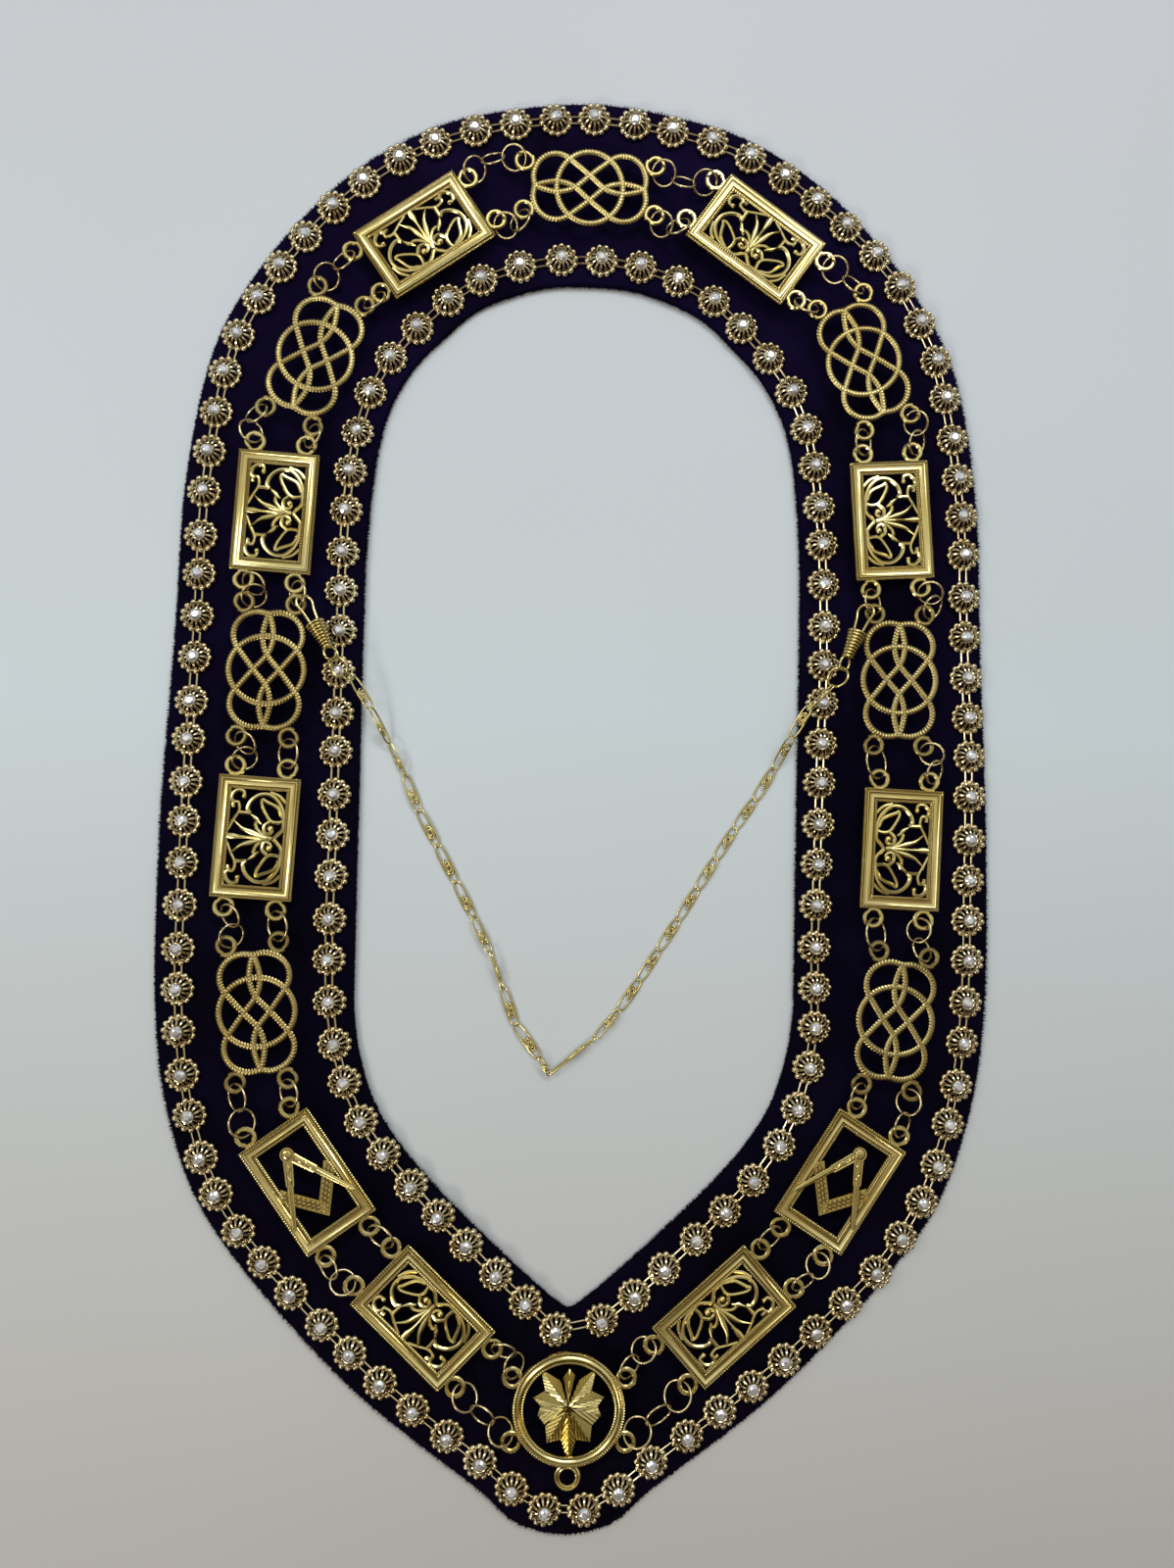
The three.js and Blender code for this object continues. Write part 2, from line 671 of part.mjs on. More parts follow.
// A round link through from and to, tilted about that line. Where it is wider
// than the two points are apart, its middle stands above them.
function wireRing(from, to, diameter, wire, tilt) {
  const way = to.clone().sub(from);
  const radius = half(diameter - wire);
  const rise = Math.sqrt(Math.max(0, radius ** 2 - half(way.length()) ** 2));
  const slope = Math.sin(degrees(Math.abs(tilt))) / Math.min(1, half(way.length()) / radius);
  const turn = Math.sign(tilt) * Math.asin(Math.min(0.98, slope));
  const ring = new THREE.TorusGeometry(radius, half(wire), RING_SIDES, RING_STEPS);
  ring.translate(0, Math.sign(tilt) * rise, 0);
  const middle = from.clone().add(to).multiplyScalar(0.5);
  const pose = new THREE.Matrix4().makeTranslation(middle.x, middle.y, middle.z);
  pose.multiply(new THREE.Matrix4().makeRotationZ(Math.atan2(way.y, way.x)));
  pose.multiply(new THREE.Matrix4().makeRotationY(-Math.asin(way.z / way.length())));
  pose.multiply(new THREE.Matrix4().makeRotationX(turn));
  return ring.applyMatrix4(pose);
}

// Joints of a strand on a level arc from from to to, bowed to one side
function strandJoints(from, to, lengths, bow) {
  const span = Math.hypot(to.x - from.x, to.y - from.y);
  const walk = (bend) => {
    const points = [new THREE.Vector2(0, 0)];
    let angle = half(bend * (lengths.length - 1));
    for (const length of lengths) {
      const last = points[points.length - 1];
      points.push(new THREE.Vector2(
        last.x + length * Math.cos(angle), last.y + length * Math.sin(angle),
      ));
      angle -= bend;
    }
    return points;
  };
  let low = 0;
  let high = (1.9 * Math.PI) / (lengths.length + 1);
  for (let pass = 0; pass < 40; pass += 1) {
    const bend = half(low + high);
    if (walk(bend)[lengths.length].length() > span) low = bend;
    else high = bend;
  }
  const points = walk(half(low + high));
  const tip = points[lengths.length];
  const skew = Math.atan2(tip.y, tip.x);
  const heading = Math.atan2(to.y - from.y, to.x - from.x);
  return points.map((point, joint) => {
    const level = point.rotateAround(new THREE.Vector2(0, 0), -skew);
    const place = new THREE.Vector2(level.x, level.y * bow)
      .rotateAround(new THREE.Vector2(0, 0), heading);
    const z = THREE.MathUtils.lerp(from.z, to.z, joint / lengths.length);
    return new THREE.Vector3(from.x + place.x, from.y + place.y, z);
  });
}

// Rings interlock: at a joint each runs past it by half a wire, less the bite.
// A strand with slack bows, and one that is short gets wider rings. It has as
// many rings as its gap takes.
function strandFit(apart, most) {
  const length = (rings) => 2 * RING_RADIUS * rings - 2 * (rings - 1) * RING_PAST;
  let count = most;
  while (count > 1 && length(count) > RING_SLACK * apart) count -= 1;
  const play = THREE.MathUtils.clamp(half(length(count) - apart), -RING_PLAY, RING_PLAY);
  const scale = Math.max(RING_LEAST, (apart + 2 * play) / length(count));
  return { count, play, scale };
}

function ringStrand(start, finish, most, bow) {
  const { count, play, scale } = strandFit(start.distanceTo(finish), most);
  const way = finish.clone().sub(start).normalize();
  const from = start.clone().addScaledVector(way, -play);
  const to = finish.clone().addScaledVector(way, play);
  const diameter = 2 * RING_RADIUS * scale + RING_WIRE;
  if (count === 1) {
    return wireRing(from, to, diameter, RING_WIRE, bow * RING_TILT);
  }
  const lengths = [];
  for (let ring = 0; ring < count; ring += 1) {
    const shared = (ring > 0 ? 1 : 0) + (ring < count - 1 ? 1 : 0);
    lengths.push(2 * RING_RADIUS * scale - shared * RING_PAST);
  }
  const joints = strandJoints(from, to, lengths, bow);
  const rings = [];
  for (let ring = 0; ring < count; ring += 1) {
    const near = joints[ring].clone();
    const far = joints[ring + 1].clone();
    const along = far.clone().sub(near).normalize();
    if (ring > 0) near.addScaledVector(along, -RING_PAST);
    if (ring < count - 1) far.addScaledVector(along, RING_PAST);
    const tilt = ring % 2 === 0 ? RING_TILT : -RING_TILT;
    rings.push(wireRing(near, far, diameter, RING_WIRE, tilt));
  }
  return joined(rings);
}

// The four eyelets that a gap's two strands join
function gapEnds(index, side) {
  const row = PLATES[index];
  const next = PLATES[(index + 1) % PLATES.length];
  return [eyeletPoint(row, 'second', side), eyeletPoint(next, 'first', side)];
}

// The chain's level leaves room under the widest ring
const widest = Math.max(...PLATES.flatMap((row, index) => ['outer', 'inner'].map((side) => {
  const [from, to] = gapEnds(index, side);
  return strandFit(from.distanceTo(to), row[side]).scale;
})));
const ringReach = widest * RING_RADIUS * Math.sin(degrees(RING_TILT)) + half(RING_WIRE);
const CHAIN_LEVEL = VELVET_TOP + GAP + ringReach;

function chainStrand(index, side) {
  const row = PLATES[index];
  const ends = gapEnds(index, side).map((point) => point.setZ(CHAIN_LEVEL));
  return ringStrand(ends[0], ends[1], row[side], side === 'outer' ? row.bow : -1);
}

// A clasp in its own frame: +X from the hook's tip to the loop at its foot
function claspGeometry(tilt) {
  const side = half(HOOK_WIDTH - HOOK_WIRE);
  const route = new THREE.CatmullRomCurve3([
    new THREE.Vector3(HOOK_REACH + 1, 0.5 * side, 0),
    new THREE.Vector3(0.6 * HOOK_REACH, 0.75 * side, 0),
    new THREE.Vector3(0.26 * HOOK_REACH, side, 0),
    new THREE.Vector3(half(HOOK_WIRE), 0.45 * side, 0),
    new THREE.Vector3(half(HOOK_WIRE), -0.45 * side, 0),
    new THREE.Vector3(0.26 * HOOK_REACH, -side, 0),
    new THREE.Vector3(0.6 * HOOK_REACH, -0.75 * side, 0),
    new THREE.Vector3(HOOK_REACH + 1, -0.5 * side, 0),
  ]);
  const hook = new THREE.ExtrudeGeometry(new THREE.Shape(polygon(RING_SIDES, half(HOOK_WIRE))), {
    steps: HOOK_STEPS, extrudePath: route, bevelEnabled: false,
  });
  hook.rotateX(degrees(tilt));
  const foot = HOOK_REACH + SLEEVE_LENGTH;
  const sleeve = new THREE.LatheGeometry([
    new THREE.Vector2(0, HOOK_REACH),
    new THREE.Vector2(half(SLEEVE_WIDE), HOOK_REACH),
    new THREE.Vector2(half(SLEEVE_NARROW), foot),
    new THREE.Vector2(0, foot),
  ], SLEEVE_SIDES);
  sleeve.rotateZ(-Math.PI / 2);
  const loop = new THREE.TorusGeometry(
    half(LOOP_DIAMETER - LOOP_WIRE), half(LOOP_WIRE), RING_SIDES, RING_STEPS,
  );
  loop.rotateX(degrees(-RING_TILT));
  loop.translate(foot + half(LOOP_DIAMETER) - LOOP_WIRE, 0, 0);
  return joined([hook, sleeve, loop]);
}

const claspReach = HOOK_REACH + SLEEVE_LENGTH + LOOP_DIAMETER - 1.5 * LOOP_WIRE;
const trimTop = TRIM_LEVEL + TRIM_HEIGHT;
const footLevel = trimTop + GAP + half(END_RING_DIAMETER) * Math.sin(degrees(RING_TILT));

// The clasp's tip goes through the ring of its strand, on the side of the neck
function claspPlace(clasp) {
  const [from, to] = gapEnds(clasp.strand - 1, 'inner');
  const middle = from.clone().add(to).multiplyScalar(0.5).setZ(CHAIN_LEVEL);
  const aside = RING_RADIUS * Math.cos(degrees(clasp.grip));
  const below = RING_RADIUS * Math.sin(degrees(clasp.grip));
  const tilt = degrees(RING_TILT);
  const way = new THREE.Vector3(
    Math.cos(degrees(clasp.heading)), Math.sin(degrees(clasp.heading)), 0,
  );
  const tip = middle.clone().add(new THREE.Vector3(
    aside * Math.cos(tilt), below, Math.abs(aside) * Math.sin(tilt),
  ));
  tip.addScaledVector(way, -HOOK_BITE);
  const foot = tip.clone().addScaledVector(way, claspReach).setZ(footLevel);
  return { tip, foot };
}

function claspMesh(clasp) {
  const mesh = pieceMesh(clasp.name, claspGeometry(clasp.tilt), GOLD);
  const { tip, foot } = claspPlace(clasp);
  const way = foot.clone().sub(tip);
  mesh.position.copy(tip);
  mesh.rotation.order = 'ZYX';
  mesh.rotation.z = Math.atan2(way.y, way.x);
  mesh.rotation.y = -Math.asin(way.z / way.length());
  return mesh;
}

// The safety chain as one flat oval tube with its two end rings
function safetyChain() {
  const rise = {
    trim: trimTop + GAP + half(CHAIN_THICK),
    edge: VELVET_TOP + GAP + 1.5 * CHAIN_THICK,
    table: half(CHAIN_THICK) + half(GAP),
  };
  const points = CHAIN_ROUTE.map((row) => new THREE.Vector3(
    row.across * half(NECK_WIDTH), row.along * half(LENGTH), rise[row.on],
  ));
  const rings = CLASPS.map((clasp) => {
    const { foot } = claspPlace(clasp);
    const way = new THREE.Vector3(
      Math.cos(degrees(clasp.chainHeading)), Math.sin(degrees(clasp.chainHeading)), 0,
    );
    const near = foot.clone().addScaledVector(way, -LOOP_WIRE);
    const far = near.clone().addScaledVector(way, END_RING_DIAMETER - END_RING_WIRE);
    return { near, far };
  });
  const path = new THREE.CatmullRomCurve3(
    [rings[0].far, ...points, rings[1].far], false, 'centripetal',
  );
  const section = polygon(CHAIN_SIDES, 1, Math.PI / CHAIN_SIDES).map((point) => (
    new THREE.Vector2(point.x * half(CHAIN_THICK), point.y * half(CHAIN_WIDTH))
  ));
  const tube = new THREE.ExtrudeGeometry(new THREE.Shape(section), {
    steps: CHAIN_STEPS, extrudePath: path, bevelEnabled: false,
  });
  const ends = rings.map(({ near, far }) => (
    wireRing(near, far, END_RING_DIAMETER, END_RING_WIRE, RING_TILT)
  ));
  return joined([tube, ...ends]);
}

const group = new THREE.Group();
group.add(pieceMesh('velvet_yoke', velvetYoke(), CLOTH));
group.add(pieceMesh(
  'outer_stone_trim', stoneTrim(outerCurve, -TRIM_INSET, OUTER_TRIM_STEPS), GOLD,
));
group.add(pieceMesh(
  'inner_stone_trim', stoneTrim(innerCurve, TRIM_INSET, INNER_TRIM_STEPS), GOLD,
));
PLATES.forEach((row, index) => {
  group.add(plateMesh(row, index));
});
PLATES.forEach((row, index) => {
  const number = String(index + 1).padStart(2, '0');
  for (const side of ['outer', 'inner']) {
    group.add(pieceMesh(`rings_${side}_${number}`, chainStrand(index, side), GOLD));
  }
});
for (const clasp of CLASPS) {
  group.add(claspMesh(clasp));
}
group.add(pieceMesh('safety_chain', safetyChain(), GOLD));

export default group;
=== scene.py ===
# Looks of a lodge officer's chain collar: velvet yoke, two rows of stone
# flowers, stamped plates on jump rings, hook clasps and a safety chain.
# Sizes are in millimetres, in the frame of the CAD model. +Z is up and the
# neck top points to +Y. Meshes are turned into metres when they are made.

import math

import bmesh
import bpy
import numpy as np
from mathutils import Matrix, Vector


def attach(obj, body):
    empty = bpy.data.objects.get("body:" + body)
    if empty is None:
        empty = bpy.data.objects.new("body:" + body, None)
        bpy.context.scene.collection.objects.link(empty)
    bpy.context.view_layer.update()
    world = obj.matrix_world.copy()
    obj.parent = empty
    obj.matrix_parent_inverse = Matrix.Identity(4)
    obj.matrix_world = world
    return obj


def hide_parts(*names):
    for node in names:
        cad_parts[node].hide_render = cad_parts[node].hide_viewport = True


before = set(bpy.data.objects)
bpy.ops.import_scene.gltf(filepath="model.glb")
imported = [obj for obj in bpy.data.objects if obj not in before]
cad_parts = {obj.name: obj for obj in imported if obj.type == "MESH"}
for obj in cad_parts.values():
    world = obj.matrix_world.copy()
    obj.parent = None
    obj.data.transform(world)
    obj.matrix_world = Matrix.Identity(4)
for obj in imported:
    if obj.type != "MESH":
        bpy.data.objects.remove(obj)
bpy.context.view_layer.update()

MM = 0.001
SEED = 4902
GENERATOR = np.random.default_rng(SEED)

# Sizes of the CAD model
LENGTH = 445.5
WIDTH = 257.6
BAND = 60.5
NECK_WIDTH = WIDTH - 2 * BAND
NECK_TOP = 59.2
NECK_TIP = 67.8
VELVET = 2.2
GAP = 0.3
TRIM_HEIGHT = 3.9
TRIM_INSET = 5.9
TRIM_LEVEL = VELVET + GAP
TRIM_TOP = TRIM_LEVEL + TRIM_HEIGHT
PLATE_LENGTH = 37.2
PLATE_WIDTH = 24.6
KNOT_LENGTH = 37.0
MEDAL_DIAMETER = 34.0
EYELET_DIAMETER = 6.4
EYELET_REACH = 2.8
KNOT_EYELET_REACH = 2.0
EYELET_SPREAD = 15.8
EYELET_THICK = 1.1
MEDAL_EYELET_REACH = 2.5
MEDAL_EYELET_ANGLE = 29
BAIL_DIAMETER = 8.2
BAIL_HOLE = 4.4
PLATE_BACK = -EYELET_THICK / 2
RING_DIAMETER = 8.8
RING_WIRE = 0.8
RING_TILT = 41
RING_PLAY = 0.3
RING_SLACK = 2.2
RING_LEAST = 0.94
RING_BITE = 0.24
RING_RADIUS = (RING_DIAMETER - RING_WIRE) / 2
RING_PAST = (RING_WIRE - RING_BITE) / 2
HOOK_REACH = 9.4
HOOK_WIDTH = 6.0
HOOK_WIRE = 0.9
HOOK_BITE = 1.5
SLEEVE_LENGTH = 9.0
SLEEVE_WIDE = 6.0
SLEEVE_NARROW = 3.2
LOOP_DIAMETER = 5.4
LOOP_WIRE = 0.8
CLASP_REACH = HOOK_REACH + SLEEVE_LENGTH + LOOP_DIAMETER - 1.5 * LOOP_WIRE
CHAIN_THICK = 1.8
END_RING_DIAMETER = 7.4
END_RING_WIRE = 0.8

CLASPS = [
    {"name": "clasp_right", "strand": 4, "grip": -140, "heading": -112, "tilt": 34, "chain": -120},
    {"name": "clasp_left", "strand": 15, "grip": -30, "heading": -61, "tilt": -34, "chain": -56},
]

# Half outlines of the yoke as (across, along), shares as in the CAD model
OUTER_OUTLINE = [
    (0.000, 1.000), (0.190, 0.988), (0.375, 0.960), (0.560, 0.898), (0.715, 0.812),
    (0.833, 0.718), (0.908, 0.629), (0.965, 0.450), (0.980, 0.225), (1.000, -0.060),
    (0.996, -0.290), (0.966, -0.418), (0.895, -0.540), (0.790, -0.632), (0.503, -0.808),
    (0.197, -0.944), (0.115, -0.984), (0.000, -1.000),
]
INNER_OUTLINE = [
    (0.000, 1.000), (0.182, 0.996), (0.357, 0.975), (0.523, 0.941), (0.665, 0.886), (0.792, 0.828),
    (0.896, 0.752), (0.949, 0.676), (0.981, 0.570), (0.999, 0.444), (1.003, 0.274), (1.000, 0.042),
    (0.997, -0.360), (0.993, -0.441), (0.959, -0.529), (0.887, -0.617), (0.769, -0.695),
    (0.596, -0.778), (0.280, -0.906), (0.045, -0.990), (0.000, -1.000),
]

# Plates clockwise from the neck top, as in the CAD model
PLATE_COLUMNS = ("kind", "across", "along", "turn", "outer", "inner", "bow", "head")
PLATE_ROWS = [
    ("knot", -0.0109, 0.8657, 0, 3, 2, -1, 0),
    ("filigree", 0.5243, 0.8005, -35, 2, 1, 1, 0),
    ("knot", 0.8779, 0.6316, -68, 2, 1, 1, 0),
    ("filigree", 0.9736, 0.4054, -86, 2, 1, 1, 0),
    ("knot", 1.0036, 0.1802, -90, 2, 1, 1, 0),
    ("filigree", 1.0153, -0.0569, -92, 2, 1, -1, 0),
    ("knot", 1.0023, -0.2941, -97, 2, 1, 1, 0),
    ("tools", 0.8329, -0.5143, -122.5, 2, 1, 1, -1),
    ("filigree", 0.4775, -0.6976, -138, 3, 2, 1, 0),
    ("medal", 0.0047, -0.8224, 0, 3, 2, 1, 0),
    ("filigree", -0.4458, -0.7006, 136.2, 2, 1, 1, 0),
    ("tools", -0.8078, -0.5213, 125.5, 2, 1, 1, 1),
    ("knot", -0.9771, -0.2951, 95.6, 2, 1, -1, 0),
    ("filigree", -0.9980, -0.0589, 87, 2, 1, -1, 0),
    ("knot", -0.9823, 0.1712, 88.6, 2, 1, -1, 0),
    ("filigree", -0.9707, 0.3899, 87, 2, 1, 1, 0),
    ("knot", -0.8612, 0.6106, 69, 2, 1, 1, 0),
    ("filigree", -0.5304, 0.7880, 35.2, 3, 2, 1, 0),
]

PLATES = [dict(zip(PLATE_COLUMNS, row)) for row in PLATE_ROWS]

# Joints of the safety chain from the right clasp to the left, as (x, y, what it
# lies on, roll of the next link in degrees, share of the next link's width)
CHAIN_JOINTS = [
    (70.3, 30.8, "trim", 14, 1.0), (65.5, 21.8, "edge", -20, 1.0), (60.9, 11.6, "table", 8, 1.0),
    (55.2, 2.0, "table", -6, 1.0), (49.0, -7.2, "table", 5, 1.0), (43.1, -16.8, "table", 12, 1.0),
    (37.5, -26.2, "table", -10, 1.0), (31.6, -36.1, "table", 4, 1.0), (25.7, -45.5, "table", -8, 1.0),
    (19.8, -55.1, "table", 6, 1.0), (13.7, -64.2, "table", 48, 1.0), (6.4, -72.8, "table", 80, 0.8),
    (-7.6, -84.2, "table", 64, 0.9), (-10.9, -79.0, "table", 12, 1.0), (-18.3, -69.2, "table", 14, 1.0),
    (-22.5, -57.9, "table", 76, 1.0), (-26.7, -46.8, "table", 38, 1.0), (-32.1, -36.3, "table", 0, 1.0),
    (-37.8, -25.6, "table", 4, 1.0), (-43.8, -14.5, "table", -5, 1.0), (-49.8, -3.7, "table", 22, 1.0),
    (-54.3, 7.1, "table", -56, 1.0), (-59.4, 17.0, "table", 58, 1.0), (-64.7, 27.3, "edge", 24, 1.0),
    (-70.4, 36.4, "trim", 40, 1.0),
]

# Stone flowers, and the pair of bars from each to the next
FLOWER_PETALS = 13
FLOWER_RADIUS = 4.5
BEAD_WIDE = 2.15
BEAD_LONG = 2.0
BAR_APART = 2.1
BAR_WIDE = 0.6
BAR_LENGTH = 5.2
FLOWER_LEAN = 0.035
FLOWER_TURN = 0.12

# Each row's flowers clockwise from the neck top, evenly apart but for a little
# play, and how the sewn row drifts, as (share of the row's length, shift outward)
PLACE_PLAY = 0.3
OUTER_ROW = {"count": 87, "first": 0.2, "drift": [
    (0.0, 0), (0.07, 0), (0.10, 2.5), (0.14, 0), (0.24, 0.5), (0.28, -1), (0.34, -1), (0.39, 1.5),
    (0.44, -1.5), (0.58, -2), (0.62, -0.5), (0.72, -2), (0.85, -0.5), (0.92, 0.5), (1.0, 0),
]}
INNER_ROW = {"count": 64, "first": 3.1, "drift": [
    (0.0, 2), (0.08, 0), (0.20, 1.5), (0.32, 0), (0.40, 2.5), (0.48, 2.5), (0.52, 0), (0.58, -1),
    (0.68, 2), (0.80, 1), (0.90, 1.5), (1.0, 2),
]}

# Milled edges, and the knots' roped wire
MILGRAIN_PITCH = 0.80
KNOT_BAND = 2.0
KNOT_HIGH = 1.4
ROPE_PITCH = 0.98
ROPE_DEPTH = 0.16

# Scrollwork of one half of a filigree plate, as (along, across) points. The
# other half is its mirror image. The outer side of the collar is +across.
SCROLL_WIRES = [
    {"wide": 1.40, "points": [(0, -5.5), (3.2, -8.1), (5.4, -7.9), (7.9, -7.8), (10.8, -6.5), (13.2, -3.6),
                              (13.1, -0.3), (10.8, 2.4), (8.3, 3.1), (7.2, 2.2)]},
    {"wide": 1.25, "points": [(5.3, -7.65), (5.0, -5.8), (5.4, -4.2), (7.7, -2.4), (10.8, -1.0),
                              (11.9, -1.3)]},
    {"wide": 1.25, "points": [(6.6, -7.6), (9.4, -6.1), (11.3, -2.1), (11.9, -1.3)]},
    {"wide": 1.25, "points": [(5.4, -4.2), (3.6, -2.3), (1.3, -2.8), (1.5, -4.4), (2.6, -5.0)]},
    {"wide": 1.35, "points": [(0, -5.0), (0.5, -2.8), (1.4, -1.5), (3.2, 0), (4.6, 0.1), (4.9, -0.9)]},
    {"wide": 1.20, "points": [(2.0, 8.4), (5.0, 7.0), (7.4, 5.75), (8.8, 5.5), (10.5, 6.1), (9.9, 7.5),
                              (8.8, 7.4)]},
    {"wide": 1.25, "points": [(7.3, 2.3), (7.4, 4.0), (7.4, 5.6)]},
    {"wide": 1.35, "points": [(12.4, 4.3), (13.8, 4.6), (14.2, 6.2), (13.0, 7.8), (11.2, 8.2),
                              (10.2, 7.0)]},
    {"wide": 1.25, "points": [(11.0, -8.4), (13.0, -6.3), (14.0, -3.4)]},
]
SCROLL_BLADES = [
    {"wide": 1.3, "points": [(4.2, -1.5), (5.0, -0.4), (5.7, 0.2), (6.4, 1.1), (7.2, 2.3)]},
    {"wide": 1.5, "points": [(0.2, -3.4), (1.0, -0.6), (1.5, 1.2), (2.6, 4.2), (5.0, 6.9)]},
]
SCROLL_BALLS = [(3.0, -4.2, 1.25), (12.3, 4.5, 0.95), (4.5, 0.0, 0.6), (9.9, 7.2, 0.6)]
SCROLL_STEM = {"wide": [1.2, 1.6, 1.0, 0.8, 1.0, 1.8, 1.5],
               "points": [(0, -3.4), (0, -0.8), (0, 1.4), (0, 2.6), (0, 3.6), (0, 6.2), (0, 8.7)]}

# One strand of the knot, which two mirror images and the whole turned half
# round repeat, and the ring round its middle
KNOT_STRAND = [
    (-17.3, 0), (-17.7, 3.8), (-16.2, 7.6), (-13.4, 9.9), (-10.4, 10.5), (-7.6, 9.8), (-4.2, 7.3),
    (0, 3.95), (4.6, 0), (7.0, -1.1), (10.5, -1.65), (14.0, -1.1), (17.2, -0.1),
]
KNOT_RING = (10.4, 11.4)

# Corners of the medallion's star, clockwise from the top
STAR = [
    (0.0, 12.1), (3.0, 8.8), (8.1, 12.2), (6.7, 5.6), (10.5, 3.8), (8.6, 0.9), (9.8, -1.6), (7.0, -4.6),
    (6.6, -9.4), (2.3, -8.8), (0.3, -16.0), (-2.2, -8.8), (-6.4, -9.7), (-7.0, -4.6), (-9.4, -1.5),
    (-8.4, 1.0), (-10.8, 3.5), (-7.2, 5.6), (-8.6, 12.0), (-2.6, 8.5),
]
STAR_MIDDLE = np.array([-0.3, 1.0])

# Degrees between the ribs and the middle line, for each point of the star
STAR_LEAN = [12, 42, 24, 24, 30, 30, 30, 24, 24, 42]
STAR_PITCH = 0.85
STAR_PLEAT = 0.42


# Meshes as (vertices, quads, triangles)
def joined(parts):
    count = 0
    vertices, quads, triangles = [], [], []
    for part in parts:
        vertices.append(part[0])
        quads.append(part[1] + count)
        triangles.append(part[2] + count)
        count += len(part[0])
    return np.vstack(vertices), np.vstack(quads), np.vstack(triangles)


def loft(rings, closed=False, ends=None):
    """A skin over rings of points, shut with fans at both ends unless it closes on itself."""
    rings = np.asarray(rings, float)
    steps, sides = rings.shape[:2]
    index = np.arange(steps * sides).reshape(steps, sides)
    here = index if closed else index[:-1]
    there = np.roll(index, -1, 0) if closed else index[1:]
    quads = np.stack([here, np.roll(here, -1, 1), np.roll(there, -1, 1), there], -1).reshape(-1, 4)
    vertices = rings.reshape(-1, 3)
    if closed:
        return vertices, quads, np.zeros((0, 3), int)
    tips = ends if ends is not None else (rings[0].mean(0), rings[-1].mean(0))
    first, last = steps * sides, steps * sides + 1
    fans = [
        np.stack([np.full(sides, first), np.roll(index[0], -1), index[0]], -1),
        np.stack([np.full(sides, last), index[-1], np.roll(index[-1], -1)], -1),
    ]
    return np.vstack([vertices, tips]), quads, np.vstack(fans)


def moved(part, matrix):
    """The part turned and shifted by a 4 by 4 matrix."""
    matrix = np.array(matrix, float)
    return part[0] @ matrix[:3, :3].T + matrix[:3, 3], part[1], part[2]


def mirrored(part, across=1, along=1):
    flipped = part[0] * [across, along, 1]
    if across * along > 0:
        return flipped, part[1], part[2]
    return flipped, part[1][:, ::-1], part[2][:, ::-1]


def scattered(part, frames):
    """Many copies of a part. frames is an array of 3 by 4 matrices."""
    frames = np.asarray(frames, float)
    copies, size = len(frames), len(part[0])
    vertices = np.einsum("cij,vj->cvi", frames[:, :, :3], part[0]) + frames[:, None, :, 3]
    shift = (np.arange(copies) * size)[:, None, None]
    return (
        vertices.reshape(-1, 3),
        (part[1][None] + shift).reshape(-1, part[1].shape[1]),
        (part[2][None] + shift).reshape(-1, 3),
    )


def upright(points, heading, along=1.0, across=1.0, high=1.0, level=0.0):
    """3 by 4 matrices that stand at level points, scaled and turned by heading in radians."""
    frames = np.zeros((len(points), 3, 4))
    frames[:, 0, 0] = np.cos(heading) * along
    frames[:, 1, 0] = np.sin(heading) * along
    frames[:, 0, 1] = -np.sin(heading) * across
    frames[:, 1, 1] = np.cos(heading) * across
    frames[:, 2, 2] = high
    frames[:, :2, 3] = points
    frames[:, 2, 3] = level
    return frames


def aimed(place, way):
    """A matrix that lays +X along way, from place."""
    return (
        Matrix.Translation(place)
        @ Matrix.Rotation(math.atan2(way[1], way[0]), 4, "Z")
        @ Matrix.Rotation(-math.asin(way[2] / np.linalg.norm(way)), 4, "Y")
    )


def turned(points, angle):
    """Level points (x, y) turned about the origin by an angle in radians."""
    points = np.asarray(points, float)
    x, y = points[..., 0], points[..., 1]
    return np.stack([
        x * math.cos(angle) - y * math.sin(angle), x * math.sin(angle) + y * math.cos(angle),
    ], -1)


def all_round(count):
    """Angles of a full circle in equal steps."""
    return 2 * math.pi * np.arange(count) / count


def circle(radius, angles, level=0.0):
    return np.column_stack([radius * np.cos(angles), radius * np.sin(angles), np.full(len(angles), level)])


def spin(degrees, axis):
    return Matrix.Rotation(math.radians(degrees), 4, axis)


def bearing(degrees):
    """A level unit vector, its angle counted from +X."""
    angle = math.radians(degrees)
    return np.array([math.cos(angle), math.sin(angle), 0])


def unit(vectors):
    return vectors / np.maximum(np.linalg.norm(vectors, axis=-1, keepdims=True), 1e-9)


def spaced(points, count, closed=False):
    """count points evenly spaced along a dense line."""
    lengths = np.concatenate([[0], np.cumsum(np.linalg.norm(np.diff(points, axis=0), axis=1))])
    want = np.linspace(0, lengths[-1], count, endpoint=not closed)
    return np.stack([np.interp(want, lengths, column) for column in points.T], 1)


